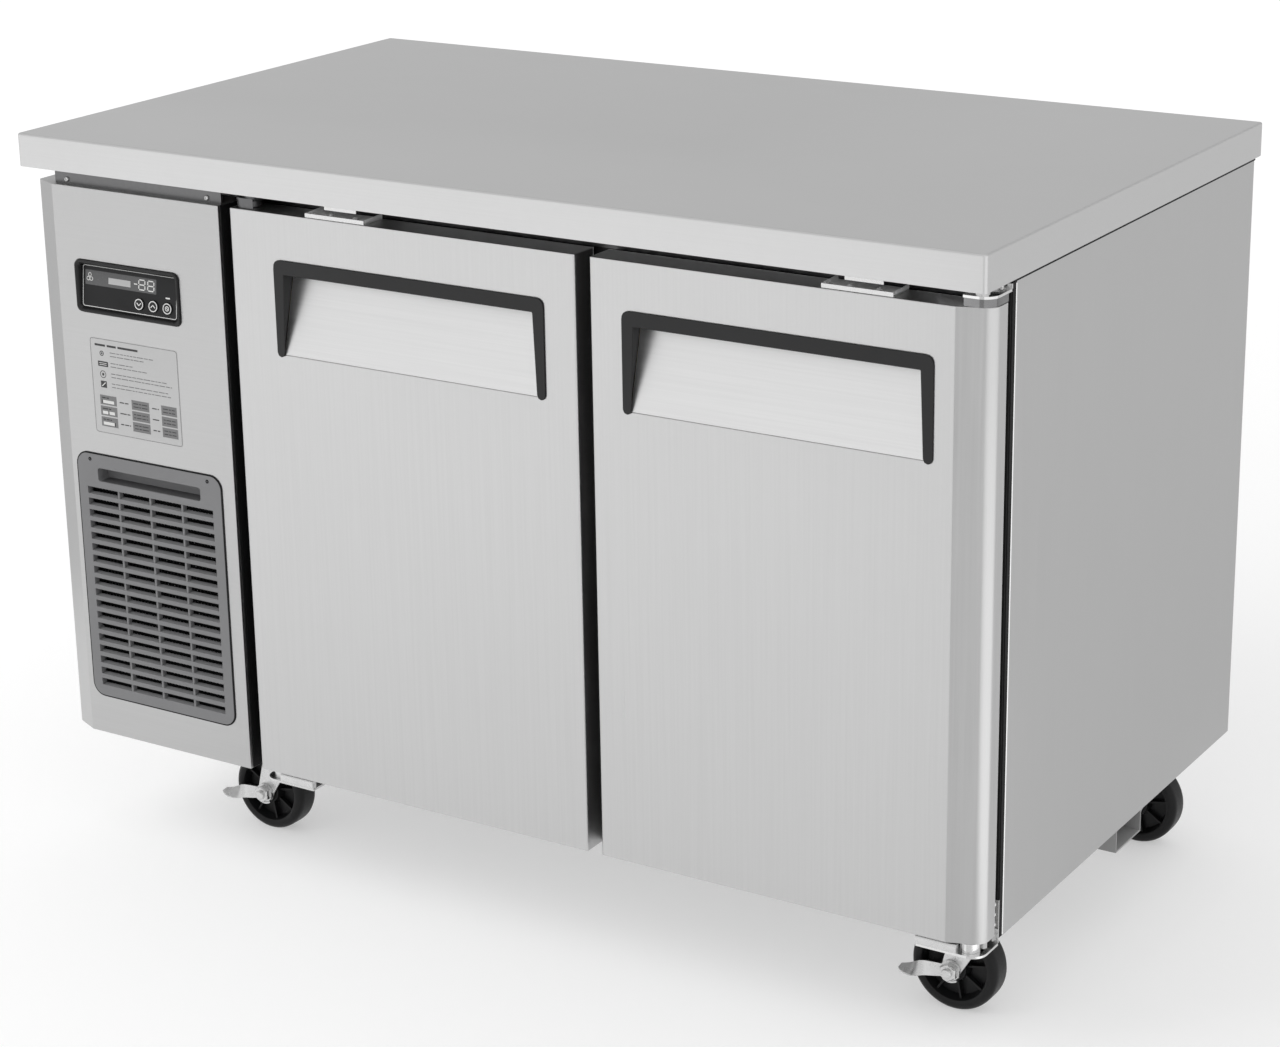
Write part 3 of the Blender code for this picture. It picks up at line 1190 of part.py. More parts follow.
def main():
    """Build every piece of the refrigerator."""
    clear_scene()
    build_worktop()
    build_cabinet_box()
    build_front_frame()
    shelf_left = INSIDE_LOW[0] + SHELF_MARGIN
    shelf_right = INSIDE_HIGH[0] - SHELF_MARGIN
    build_shelf("left_shelf", shelf_left, MULLION_CENTRE - SHELF_MARGIN)
    build_shelf("right_shelf", MULLION_CENTRE + SHELF_MARGIN, shelf_right)
    build_base_channel()
    build_machine_panels()
    build_grille()
    build_compressor(build_condenser())
    build_evaporator()
    build_controls()
    for side, mirror, rounded in (("left", 1, False), ("right", -1, True)):
        build_door(side, mirror, rounded)
        build_hinge_brackets(side, mirror)
    build_casters()


main()
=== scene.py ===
"""Looks of the under-counter refrigerator: finishes, fine shapes, floor, lights and camera."""
import json
import math

import bmesh
import bpy
from mathutils import Matrix, Vector


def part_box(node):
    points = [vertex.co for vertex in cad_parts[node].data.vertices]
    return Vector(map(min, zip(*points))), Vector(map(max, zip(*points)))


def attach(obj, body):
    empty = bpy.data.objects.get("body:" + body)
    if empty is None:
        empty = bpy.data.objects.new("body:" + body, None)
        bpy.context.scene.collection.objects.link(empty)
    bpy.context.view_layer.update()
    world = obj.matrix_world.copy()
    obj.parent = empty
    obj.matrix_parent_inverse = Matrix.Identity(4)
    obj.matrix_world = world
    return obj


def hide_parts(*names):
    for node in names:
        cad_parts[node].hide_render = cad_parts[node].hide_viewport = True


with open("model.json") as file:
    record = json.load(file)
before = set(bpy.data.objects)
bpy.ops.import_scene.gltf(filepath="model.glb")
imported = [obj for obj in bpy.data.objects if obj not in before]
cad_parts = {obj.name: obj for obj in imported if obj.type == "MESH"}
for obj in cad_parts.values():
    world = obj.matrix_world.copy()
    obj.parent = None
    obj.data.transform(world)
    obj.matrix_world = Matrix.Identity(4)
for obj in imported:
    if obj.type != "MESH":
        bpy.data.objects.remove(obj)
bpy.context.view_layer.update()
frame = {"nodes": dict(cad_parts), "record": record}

# Camera, fitted to the photograph's corners, in metres, degrees and pixels
FRAME_WIDTH = 1280
FRAME_HEIGHT = 1047
CAMERA_SPOT = (1.7685, -2.7980, 1.5164)
CAMERA_AZIMUTH = 31.905
CAMERA_ELEVATION = 17.687
CAMERA_ROLL = -0.838
FOCAL_PIXELS = 3015.0
AXIS_PIXEL = (661.5, 460.0)

# Small clearances
WELD = 0.00001
SKIN = 0.0002
CUT_PAST = 0.010

# Angles in degrees: faces that count as flat, edges that are rounded or stay sharp, and folds in long sheets
FLAT_ANGLE = 0.5
EDGE_ANGLE = 30.0
SHARP_ANGLE = 32.0
FOLD_ANGLE = 18.5
FOLD_LENGTH = 0.30

# Widths that edges are rounded by
FINE_EDGE = 0.0003
SMALL_EDGE = 0.0004
PLATE_EDGE = 0.0006
PRESSED_EDGE = 0.0007
PANEL_EDGE = 0.0008
DOOR_EDGE = 0.0010

SIDES = ("left", "right")
CASTERS = ("front_left_caster", "front_right_caster", "back_left_caster", "back_right_caster")
ACROSS = Vector((1.0, 0.0, 0.0))
UP = Vector((0.0, 0.0, 1.0))
BODY_OF = {node: body for body, nodes in frame["record"]["behaviour"]["bodies"].items() for node in nodes}
SLOT_OF = {row["node"]: row["material_slot"] for row in frame["record"]["subparts"]}


# Outlines

def between(start, end, share):
    """Number at a share of the way from a start to an end."""
    return start + (end - start) * share


def share_of(low, high, across, up):
    """Point in a rectangle from shares of its width and height."""
    return between(low[0], high[0], across), between(low[1], high[1], up)


def arc(middle, radius, start, end, steps):
    """Points along an arc between two angles in degrees."""
    points = []
    for step in range(steps + 1):
        angle = math.radians(start + (end - start) * step / steps)
        points.append((middle[0] + radius * math.cos(angle), middle[1] + radius * math.sin(angle)))
    return points


def circle(middle, radius, sides):
    """Outline of a circle."""
    return arc(middle, radius, 0, 360 * (1 - 1 / sides), sides - 1)


def inset(low, high, distance):
    """Corners of a rectangle moved inwards."""
    return (low[0] + distance, low[1] + distance), (high[0] - distance, high[1] - distance)


def rectangle(low, high):
    """Outline of a rectangle between two corners."""
    return [(low[0], low[1]), (high[0], low[1]), (high[0], high[1]), (low[0], high[1])]


def rounded(low, high, radius, steps=6):
    """Outline of a rectangle with arcs for corners."""
    middles = rectangle(*inset(low, high, radius))
    points = []
    for turn in range(4):
        points += arc(middles[(turn + 1) % 4], radius, 90 * turn - 90, 90 * turn, steps)
    return points


def nested(outline, corner, ease, steps):
    """Rounded outlines at (inset, level) steps, whose corners tighten."""
    return [(rounded(*inset(*outline, shrink), corner - shrink * ease), level) for shrink, level in steps]


def cove(radius, face, turns):
    """Steps of (inset, level) along an edge that curves into a face."""
    angles = [math.radians(turn) for turn in turns]
    return [(radius * (1.0 - math.cos(angle)), face - radius * (1.0 - math.sin(angle))) for angle in angles]


# Shapes

def skin_over(shape, rings, closed=False, capped=True):
    """Faces from each ring of vertices to the next; a ring can be one point."""
    pairs = list(zip(rings, rings[1:]))
    if closed:
        pairs.append((rings[-1], rings[0]))
    for lower, upper in pairs:
        for index in range(max(len(lower), len(upper))):
            corners = [lower[index % len(lower)], lower[(index + 1) % len(lower)],
                       upper[(index + 1) % len(upper)], upper[index % len(upper)]]
            shape.faces.new(list(dict.fromkeys(corners)))
    if capped and not closed:
        shape.faces.new(rings[0])
        shape.faces.new(rings[-1])


def loft(shape, axis, levels, closed=False):
    """Form through (outline, level) pairs; a closed one joins its last outline to its first."""
    place = "XYZ".index(axis)
    rings = []
    for outline, level in levels:
        rings.append([shape.verts.new((*point[:place], level, *point[place:])) for point in outline])
    skin_over(shape, rings, closed)
    return shape


def prism(shape, outline, axis, low, high):
    """Outline extruded along an axis."""
    return loft(shape, axis, [(outline, low), (outline, high)])


def block(shape, low, high):
    """Box between two corners."""
    return prism(shape, rectangle(low, high), "Z", low[2], high[2])


def wall(shape, outer, inner, axis, low, high):
    """Wall between two open lines of points."""
    return prism(shape, outer + inner[::-1], axis, low, high)


def ring_round(shape, axis, centre, height, reach, sides):
    """Vertices round an axis at a height from a centre, at a reach that follows their angle."""
    order = {"X": (2, 0, 1), "Y": (1, 2, 0), "Z": (0, 1, 2)}[axis]
    ring = []
    for side in range(sides):
        angle = math.tau * side / sides
        spot = (reach(angle) * math.cos(angle), reach(angle) * math.sin(angle), height)
        ring.append(shape.verts.new(Vector([spot[index] for index in order]) + Vector(centre)))
    return ring


def turned(shape, profile, axis, centre, sides, closed=False):
    """Profile of (radius, height) pairs turned round an axis through a centre."""
    rings = []
    for radius, height in profile:
        count = sides if radius > 0 else 1
        rings.append(ring_round(shape, axis, centre, height, lambda angle: radius, count))
    skin_over(shape, rings, closed, capped=False)
    return shape


def rod(shape, points, radius, normal, sides=10, closed=False):
    """Round wire along points in a plane that is square to a direction."""
    spots = [Vector(point) for point in points]
    last = len(spots) - 1
    rings = []
    for index, spot in enumerate(spots):
        before = spots[index - 1] if closed or index > 0 else spot
        after = spots[(index + 1) % len(spots)] if closed or index < last else spot
        side = (after - before).normalized().cross(normal)
        angles = [math.tau * count / sides for count in range(sides)]
        ways = [side * math.cos(angle) + normal * math.sin(angle) for angle in angles]
        rings.append([shape.verts.new(spot + way * radius) for way in ways])
    skin_over(shape, rings, closed)
    return shape


def hexagon(shape, spot, axis, way, reach, height, bore=0.0):
    """Hexagon nut or bolt head with a chamfered end, standing out along an axis."""
    bore = max(bore, reach * 0.02)
    section = ((reach, -SKIN), (reach, height - reach * 0.14), (reach * 0.88, height),
               (bore, height), (bore, -SKIN))
    return turned(shape, [(out, way * up) for out, up in section], axis, spot, 6, closed=True)


def screw(shape, spot, axis, way, radius, height, sides=20):
    """Domed screw head with a hexagon socket, standing out along an axis."""
    dome = ((1.0, -0.0006), (1.0, height * 0.35), (0.90, height * 0.72), (0.66, height), (0.5, height))
    turned(shape, [(radius * share, way * level) for share, level in dome], axis, spot, sides)

    def socket(angle):
        return radius * 0.5 * (1.0 - 0.10 * abs(math.sin(3 * angle)))

    levels = (way * height, way * (height - 0.0012))
    rings = [ring_round(shape, axis, spot, level, socket, sides) for level in levels]
    skin_over(shape, rings, capped=False)
    shape.faces.new(rings[1])
    bmesh.ops.remove_doubles(shape, verts=shape.verts, dist=WELD)


# Flat shapes that face the front, between a depth's front and back

def band(shape, outer, inner, depth, slope=0.0):
    """Ring between two outlines, whose front can slope."""
    front, back = depth
    levels = [(outer, back), (outer, front), (inner, front + slope), (inner, back)]
    return loft(shape, "Y", levels, closed=True)


def border(shape, outline, line, radius, depth):
    """Rounded frame of a line's width."""
    return band(shape, rounded(*outline, radius), rounded(*inset(*outline, line), radius - line), depth)


def disc(shape, middle, radius, depth, hole=0.0, sides=28):
    """Disc or ring."""
    outer = circle(middle, radius, sides)
    if hole:
        return band(shape, outer, circle(middle, hole, sides), depth)
    return prism(shape, outer, "Y", *depth)


def bar(shape, start, end, line, depth):
    """Bar of a line's width between two points."""
    start, end = Vector(start), Vector(end)
    side = Vector((start.y - end.y, end.x - start.x)).normalized() * line / 2
    return prism(shape, [start - side, end - side, end + side, start + side], "Y", *depth)


def plate(shape, low, high, depth):
    """Plate between two corners."""
    return prism(shape, rectangle(low, high), "Y", *depth)


# From shapes to pieces

def soften(shape, width, segments=2, angle=EDGE_ANGLE):
    """Round the edges that turn by more than an angle, and the long folds."""
    edges = []
    for edge in shape.edges:
        limit = FOLD_ANGLE if edge.calc_length() > FOLD_LENGTH else angle
        if len(edge.link_faces) == 2 and edge.calc_face_angle(0.0) > math.radians(limit):
            edges.append(edge)
    bmesh.ops.bevel(shape, geom=edges, offset=width, segments=segments, profile=0.5, affect="EDGES")
    return shape


def clean(shape):
    """Join a shape's split vertices, and its faces that lie in one plane."""
    bmesh.ops.remove_doubles(shape, verts=shape.verts, dist=WELD)
    flat = math.radians(FLAT_ANGLE)
    bmesh.ops.dissolve_limit(shape, angle_limit=flat, verts=shape.verts, edges=shape.edges)
    return shape


def placed(name, shape):
    """New object with a shape for its mesh."""
    bmesh.ops.recalc_face_normals(shape, faces=shape.faces)
    mesh = bpy.data.meshes.new(name)
    shape.to_mesh(mesh)
    shape.free()
    made = bpy.data.objects.new(name, mesh)
    bpy.context.scene.collection.objects.link(made)
    return made


def cut(shape, other):
    """New shape, with the second shape taken out of the first."""
    pair = [placed("boolean_work", source) for source in (shape, other)]
    step = pair[0].modifiers.new("step", "BOOLEAN")
    step.operation = "DIFFERENCE"
    step.object = pair[1]
    bpy.context.view_layer.update()
    result = bmesh.new()
    result.from_object(pair[0], bpy.context.evaluated_depsgraph_get())
    for work in pair:
        mesh = work.data
        bpy.data.objects.remove(work)
        bpy.data.meshes.remove(mesh)
    return clean(result)


def welded(node):
    """Copy of a CAD node's shape with its split vertices joined."""
    shape = bmesh.new()
    shape.from_mesh(frame["nodes"][node].data)
    return clean(shape)


def piece(name, shape, finish, body="cabinet", replaces=(), crease=SHARP_ANGLE):
    """Make a shape into a named piece that rides on a body."""
    made = placed(name, shape)
    made.data.shade_smooth()
    made.data.set_sharp_from_angle(angle=math.radians(crease))
    made.data.materials.append(finish)
    made.modifiers.new("even_normals", "WEIGHTED_NORMAL").keep_sharp = True
    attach(made, body)
    if replaces:
        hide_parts(*replaces)


def stand_for(node, shape, finish, crease=SHARP_ANGLE):
    """Piece that stands for a CAD node and rides as it does."""
    piece(f"{node}_form", shape, finish, BODY_OF[node], (node,), crease)


def dress(node, finish, width=PLATE_EDGE, segments=2):
    """Piece with a CAD node's shape, welded, with its sharp edges rounded."""
    stand_for(node, soften(welded(node), width, segments), finish)


def face_of(node):
    """Corners of a node's outline from the front, and its front and back."""
    low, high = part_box(node)
    return ((low.x, low.z), (high.x, high.z)), low.y, high.y


# Materials

GRAIN_ACROSS = 420.0
GRAIN_ALONG = 5.0


def feed(tree, node, **inputs):
    """Set or link some of a node's inputs."""
    for name, value in inputs.items():
        socket = node.inputs[name.replace("_", " ")]
        if isinstance(value, bpy.types.NodeSocket):
            tree.links.new(value, socket)
        else:
            socket.default_value = value
    return node


def add(tree, kind, **inputs):
    """New node with some of its inputs set or linked."""
    return feed(tree, tree.nodes.new(kind), **inputs)


def math_node(tree, operation, first, second):
    """Result of an operation on two linked values."""
    node = tree.nodes.new("ShaderNodeMath")
    node.operation = operation
    tree.links.new(first, node.inputs[0])
    tree.links.new(second, node.inputs[1])
    return node.outputs["Value"]


def start_material(name, colour, roughness, metallic=0.0):
    """New material, its nodes and its shader."""
    material = bpy.data.materials.new(name)
    material.use_nodes = True
    tree = material.node_tree
    shader = tree.nodes["Principled BSDF"]
    feed(tree, shader, Base_Color=(*colour, 1.0), Roughness=roughness, Metallic=metallic)
    return material, tree, shader


def object_spot(tree):
    """Place on the object."""
    return add(tree, "ShaderNodeTexCoord").outputs["Object"]


def noise(tree, scale, stretch=(1.0, 1.0, 1.0), detail=3.0):
    """Noise over the object's own coordinates, stretched along its axes."""
    mapped = add(tree, "ShaderNodeMapping", Vector=object_spot(tree), Scale=stretch).outputs["Vector"]
    return add(tree, "ShaderNodeTexNoise", Vector=mapped, Scale=scale, Detail=detail).outputs["Fac"]


def ramp(tree, value, low, high, start=0.3, end=0.7):
    """Number that follows a value between two limits."""
    limits = {"From_Min": start, "From_Max": end, "To_Min": low, "To_Max": high}
    return add(tree, "ShaderNodeMapRange", Value=value, **limits).outputs["Result"]


def tint(tree, value, colour, spread, start=0.3, end=0.7):
    """Colour that follows a value from a darker to a lighter shade."""
    mix = add(tree, "ShaderNodeValToRGB", Fac=value)
    for element, place, share in zip(mix.color_ramp.elements, (start, end), (1.0 - spread, 1.0 + spread)):
        element.position = place
        element.color = (*[part * share for part in colour], 1.0)
    return mix.outputs["Color"]


def surface(tree, shader, colour, roughness, height, strength, depth):
    """Link a colour, a roughness and a fine bump to a shader."""
    bump = add(tree, "ShaderNodeBump", Height=height, Strength=strength, Distance=depth)
    feed(tree, shader, Base_Color=colour, Roughness=roughness, Normal=bump.outputs["Normal"])


def brushed_steel(name, colour, along, roughness):
    """Stainless sheet with grain along one axis and faint smudges."""
    material, tree, shader = start_material(name, colour, roughness, 1.0)
    stretch = [GRAIN_ACROSS] * 3
    stretch["XYZ".index(along)] = GRAIN_ALONG
    grain = noise(tree, 1.0, stretch, 4.0)
    smudge = ramp(tree, noise(tree, 5.0, detail=5.0), -0.02, 0.03)
    rough = math_node(tree, "ADD", ramp(tree, grain, roughness - 0.04, roughness + 0.04), smudge)
    surface(tree, shader, tint(tree, grain, colour, 0.022), rough, grain, 0.05, 0.0002)
    return material


def plain_metal(name, colour, roughness, scale, spread, bump):
    """Plated or cast metal with a faint mottle."""
    material, tree, shader = start_material(name, colour, roughness, 1.0)
    mottle = noise(tree, scale, detail=4.0)
    rough = ramp(tree, mottle, roughness - 0.05, roughness + 0.06)
    surface(tree, shader, tint(tree, mottle, colour, spread), rough, mottle, bump, 0.0003)
    return material


def galvanised(name, colour, roughness):
    """Hot-dipped zinc sheet with its crystal pattern."""
    material, tree, shader = start_material(name, colour, roughness, 1.0)
    crystal = add(tree, "ShaderNodeTexVoronoi", Vector=object_spot(tree), Scale=70.0).outputs["Color"]
    shade = add(tree, "ShaderNodeSeparateColor", Color=crystal).outputs["Red"]
    rough = ramp(tree, shade, roughness - 0.07, roughness + 0.07, 0.0, 1.0)
    surface(tree, shader, tint(tree, shade, colour, 0.07, 0.0, 1.0), rough, noise(tree, 40.0), 0.03, 0.0004)
    return material


def moulded(name, colour, roughness, scale, bump, spread, shine=0.5):
    """Moulded plastic, rubber or paint with a fine grained surface."""
    material, tree, shader = start_material(name, colour, roughness)
    feed(tree, shader, Specular_IOR_Level=shine)
    grain = noise(tree, scale, detail=2.0)
    cloud = noise(tree, 14.0, detail=3.0)
    rough = ramp(tree, grain, roughness - 0.05, roughness + 0.07)
    surface(tree, shader, tint(tree, cloud, colour, spread), rough, grain, bump, 0.0003)
    return material


def neutral(level, blue=None):
    """Grey, with its blue apart if it isn't even."""
    return level, level, blue or level


STEEL = brushed_steel("brushed_steel_upright", neutral(0.58), "Z", 0.33)
STEEL_PANEL = brushed_steel("brushed_steel_machine", neutral(0.505), "X", 0.34)
# Lighter copy of the stainless for the worktop: painted light on its lit top.
STEEL_LIT_TOP = brushed_steel("brushed_steel_lit_worktop", neutral(0.64), "X", 0.38)
# Darker copy of the stainless for the side panels, back and shell: painted shade for faces that take less
# light than the front.
STEEL_SHADED_SIDE = brushed_steel("brushed_steel_shaded_side", neutral(0.56), "Z", 0.40)
BRIGHT = brushed_steel("bright_steel", neutral(0.80), "X", 0.36)
LINER = brushed_steel("liner_steel", (0.70, 0.71, 0.72), "Z", 0.34)
CHROME = plain_metal("chrome", neutral(0.80), 0.12, 80.0, 0.03, 0.02)
# Brighter copy of the shell's steel: a painted highlight along its front edge.
EDGE_HIGHLIGHT_STEEL = plain_metal("painted_highlight_steel", neutral(0.82), 0.30, 90.0, 0.03, 0.02)
DULL_ZINC = plain_metal("dull_zinc", neutral(0.16, 0.163), 0.40, 120.0, 0.08, 0.08)
# Dark steel for the rails under the worktop: painted shade for the worktop's shadow.
SHADED_RAIL_STEEL = plain_metal("shaded_rail_steel", neutral(0.17, 0.172), 0.34, 120.0, 0.08, 0.05)
GALVANISED = galvanised("galvanised_sheet", (0.50, 0.51, 0.52), 0.42)
ZINC = plain_metal("zinc_plate", neutral(0.68), 0.28, 120.0, 0.05, 0.04)
POLISHED = plain_metal("polished_steel", neutral(0.25, 0.253), 0.16, 60.0, 0.10, 0.03)
SATIN = moulded("satin_plate", neutral(0.86), 0.40, 600.0, 0.04, 0.03)
CHANNEL = moulded("channel_plate", neutral(0.40), 0.42, 600.0, 0.04, 0.06)
RUBBER = moulded("wheel_rubber", neutral(0.007, 0.0074), 0.42, 500.0, 0.08, 0.15, 0.26)
SEAL = moulded("gasket_rubber", neutral(0.008, 0.0085), 0.60, 700.0, 0.10, 0.10, 0.20)
BLACK = moulded("black_plastic", neutral(0.014, 0.0145), 0.40, 1400.0, 0.16, 0.10, 0.34)
GREY = moulded("grey_plastic", neutral(0.225, 0.23), 0.50, 1400.0, 0.10, 0.04, 0.40)
# Painted shade for the floor of the grille's finger pull.
PULL_SHADE_GREY = moulded("pull_shade_grey_plastic", neutral(0.085, 0.087), 0.55, 1400.0, 0.10, 0.05, 0.25)
SMOKED = moulded("smoked_plastic", neutral(0.014, 0.0147), 0.34, 1200.0, 0.14, 0.25, 0.22)
WINDOW = moulded("display_window", neutral(0.11, 0.112), 0.22, 500.0, 0.02, 0.03, 0.35)
PRINT = moulded("white_print", neutral(0.78, 0.77), 0.45, 600.0, 0.03, 0.03)
PRINT_BAR = moulded("grey_print", neutral(0.50), 0.45, 600.0, 0.03, 0.03)
PRINT_CELL = moulded("cell_print", neutral(0.17, 0.172), 0.50, 600.0, 0.03, 0.05)
PRINT_CELL_GREY = moulded("table_print", neutral(0.20, 0.202), 0.50, 600.0, 0.03, 0.05)
PRINT_DARK = moulded("dark_print", neutral(0.035, 0.036), 0.50, 600.0, 0.03, 0.05)
LABEL = moulded("label_film", neutral(0.56), 0.38, 300.0, 0.03, 0.02)
WHITE = moulded("white_plastic", neutral(0.78, 0.77), 0.42, 900.0, 0.06, 0.02)
FOAM = moulded("rigid_foam", (0.83, 0.76, 0.55), 0.90, 260.0, 0.40, 0.06)
WIRE = moulded("coated_wire", (0.70, 0.71, 0.70), 0.38, 800.0, 0.05, 0.03)
FINS = plain_metal("aluminium_fins", (0.72, 0.73, 0.74), 0.36, 200.0, 0.06, 0.08)
COPPER = plain_metal("copper_tube", (0.72, 0.40, 0.26), 0.30, 150.0, 0.10, 0.04)
ENAMEL = moulded("black_paint", neutral(0.010, 0.0105), 0.36, 350.0, 0.10, 0.12, 0.30)

FINISH_OF_SLOT = {
    "brushed_steel": STEEL, "bright_steel": BRIGHT, "zinc": ZINC, "wheel_rubber": RUBBER,
    "black_plastic": BLACK, "grey_plastic": GREY, "smoked_plastic": SMOKED, "button_plastic": BLACK,
    "white_plastic": WHITE, "foam": FOAM, "gasket_rubber": SEAL, "coated_wire": WIRE,
    "aluminium": FINS, "copper": COPPER, "black_paint": ENAMEL,
}
FINISH_OF_NODE = {
    "worktop": STEEL_LIT_TOP, "machine_front_panel": STEEL_PANEL, "machine_side_panel": STEEL_SHADED_SIDE,
    "machine_rear_panel": STEEL_SHADED_SIDE, "cabinet_shell": STEEL_SHADED_SIDE, "cabinet_liner": LINER,
}


def finish_of(node):
    """Finish of a CAD node."""
    return FINISH_OF_NODE.get(node, FINISH_OF_SLOT[SLOT_OF[node]])


def dress_nodes():
    """Give every CAD node its finish, and the ones that show their softened edges."""
    for node, made in frame["nodes"].items():
        made.data.materials.clear()
        made.data.materials.append(finish_of(node))
    for node in ("worktop", "machine_front_panel", "machine_side_panel", "machine_rear_panel"):
        dress(node, finish_of(node), PANEL_EDGE)
    for side in SIDES:
        dress(f"{side}_door_skin", STEEL, DOOR_EDGE)
        dress(f"{side}_door_handle_surround", BLACK, DOOR_EDGE, 3)
        dress(f"{side}_door_handle_scoop", BRIGHT, FINE_EDGE)
    for name in CASTERS:
        dress(f"{name}_plate", ZINC)
    dress("base_channel", CHANNEL)


# Control panel

DISPLAY_TILT = math.radians(6.0)
DISPLAY_RECESS = 0.006
DISPLAY_GAP = 0.0005
DIGIT_LINE = 0.0013
DIGIT_GAP = DIGIT_LINE * 0.62
BORDER_LINE = 0.0007
BORDER_INSET = 0.0012
BORDER_CORNER = 0.003
BEZEL_RIM = 0.005
BEZEL_CORNER = 0.007
BUTTONS = ("mode", "up", "down")
BUTTON_FROM_RIGHT = 0.014
BUTTON_SPACING = 0.0205
BUTTON_RISE = 0.0125
BUTTON_RADIUS = 0.0068
BUTTON_PROUD = 0.0015

# Button print: the ring's edges in from the button's, the dial's radii, the chevron's half width and height
BUTTON_RING = (0.0006, 0.0017)
DIAL_RING = (0.0029, 0.0019)
CHEVRON = (0.0030, 0.0015)

# Display window in shares of half the display, and what it shows in shares of the window
WINDOW_CORNERS = ((-0.93, 0.06), (0.56, 0.74))
READOUT_BAR = ((0.33, 0.22), (0.64, 0.64))
MINUS_SIGN = ((0.69, 0.50), (0.735, 0.50))
FAN_ICON = (0.065, 0.50)
DIGITS_ACROSS = (0.80, 0.925)
DIGIT_FLOOR = 0.17
DIGIT_WIDTH = 0.085
DIGIT_HEIGHT = 0.66

# Fan icon's lobes: how far out across and up, and their radii; lamp's half length and line
LOBE_OUT = (0.0026, 0.0030)
LOBE_RING = (0.0024, 0.0017)
LAMP_HALF = 0.003
LAMP_LINE = 0.0016

# Depths of the display's film and of the ink on it
FILM = (-0.0002, 0.0001)
INK = (-0.0004, 0.0001)

# Bezel section: how far in from its edge, and how far behind its front
BEZEL_SECTION = ((0.0, 0.0015), (0.0005, 0.0004), (0.0014, 0.0), (0.0026, 0.0003), (BEZEL_RIM, 0.0034))


def build_bezel():
    """Moulded bezel with a rolled rim and walls that slope in to the display."""
    outline, front, back = face_of("control_bezel")
    steps = [(shrink, front + deep) for shrink, deep in BEZEL_SECTION]
    steps = [(0.0, back), *steps, (BEZEL_RIM, back)]
    shape = loft(bmesh.new(), "Y", nested(outline, BEZEL_CORNER, 0.6, steps), closed=True)
    stand_for("control_bezel", shape, BLACK, crease=40.0)


def display_half():
    """Half of the display's width and height."""
    (low, high), _, _ = face_of("control_bezel")
    return [(end - start) / 2 - BEZEL_RIM - DISPLAY_GAP for start, end in zip(low, high)]


def tilted(shape):
    """Turn a shape drawn flat into the display's plane."""
    (low, high), front, _ = face_of("control_bezel")
    spot = ((low[0] + high[0]) / 2, front + DISPLAY_RECESS, (low[1] + high[1]) / 2)
    place = Matrix.Translation(spot) @ Matrix.Rotation(-DISPLAY_TILT, 4, "X")
    bmesh.ops.transform(shape, matrix=place, verts=shape.verts)
    return shape


def digit(shape, left, bottom, width, height):
    """Seven bars of a digit, with a small gap between them."""
    for level in (bottom, bottom + height / 2, bottom + height):
        bar(shape, (left + DIGIT_GAP, level), (left + width - DIGIT_GAP, level), DIGIT_LINE, INK)
    for across in (left, left + width):
        for level in (bottom, bottom + height / 2):
            ends = (across, level + DIGIT_GAP), (across, level + height / 2 - DIGIT_GAP)
            bar(shape, *ends, DIGIT_LINE, INK)


def build_display():
    """Printed border and window of the display, and the digits and lamps in it."""
    half = display_half()
    edge = inset((-half[0], -half[1]), half, BORDER_INSET)
    lines = border(bmesh.new(), edge, BORDER_LINE, BORDER_CORNER, FILM)
    piece("display_border", tilted(lines), PRINT)
    window = [[span * share for span, share in zip(half, corner)] for corner in WINDOW_CORNERS]
    film = prism(bmesh.new(), rounded(*window, 0.0008), "Y", *FILM)
    piece("display_window", tilted(film), WINDOW)
    level = plate(bmesh.new(), *[share_of(*window, *corner) for corner in READOUT_BAR], INK)
    piece("display_bar", tilted(level), PRINT_BAR)

    marks = bmesh.new()
    wide, tall = [end - start for start, end in zip(*window)]
    width = wide * DIGIT_WIDTH
    for share in DIGITS_ACROSS:
        across, floor = share_of(*window, share, DIGIT_FLOOR)
        digit(marks, across - width / 2, floor, width, tall * DIGIT_HEIGHT)
    bar(marks, *[share_of(*window, *end) for end in MINUS_SIGN], DIGIT_LINE, INK)
    fan = share_of(*window, *FAN_ICON)
    for turn in (90, 210, 330):
        angle = math.radians(turn)
        lobe = (fan[0] + LOBE_OUT[0] * math.cos(angle), fan[1] + LOBE_OUT[1] * math.sin(angle))
        disc(marks, lobe, LOBE_RING[0], INK, LOBE_RING[1], 20)
    lamp, up = half[0] - BUTTON_FROM_RIGHT, half[1] * -0.03
    bar(marks, (lamp - LAMP_HALF, up), (lamp + LAMP_HALF, up), LAMP_LINE, INK)
    piece("display_marks", tilted(marks), PRINT)


def build_button_marks():
    """Ring and pointer printed on each button."""
    half = display_half()
    up = BUTTON_RISE - half[1]
    depth = (-BUTTON_PROUD - SKIN, -BUTTON_PROUD + SKIN)
    outer, inner = [BUTTON_RADIUS - shrink for shrink in BUTTON_RING]
    wide, tall = CHEVRON
    for index, name in enumerate(BUTTONS):
        across = half[0] - BUTTON_FROM_RIGHT - index * BUTTON_SPACING
        marks = disc(bmesh.new(), (across, up), outer, depth, inner, 40)
        if name == "mode":
            disc(marks, (across, up), DIAL_RING[0], depth, DIAL_RING[1])
            bar(marks, (across - 0.0012, up + 0.0008), (across + 0.0012, up - 0.0008), 0.0009, depth)
        else:
            rise = tall if name == "up" else -tall
            for side in (-1, 1):
                bar(marks, (across + side * wide, up - rise), (across, up + rise), 0.0011, depth)
        piece(f"{name}_button_marks", tilted(marks), PRINT, f"{name}_key")


# Instruction label with plain marks

PANEL_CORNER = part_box("machine_front_panel")[0]
LABEL_LOW = (PANEL_CORNER.x + 0.0704, PANEL_CORNER.z + 0.3770)
LABEL_HIGH = (PANEL_CORNER.x + 0.1990, PANEL_CORNER.z + 0.4895)
LABEL_LAYERS = (0.00032, 0.00042, 0.00052)
TITLE_LINE = 0.0024
TEXT_LINE = 0.0009

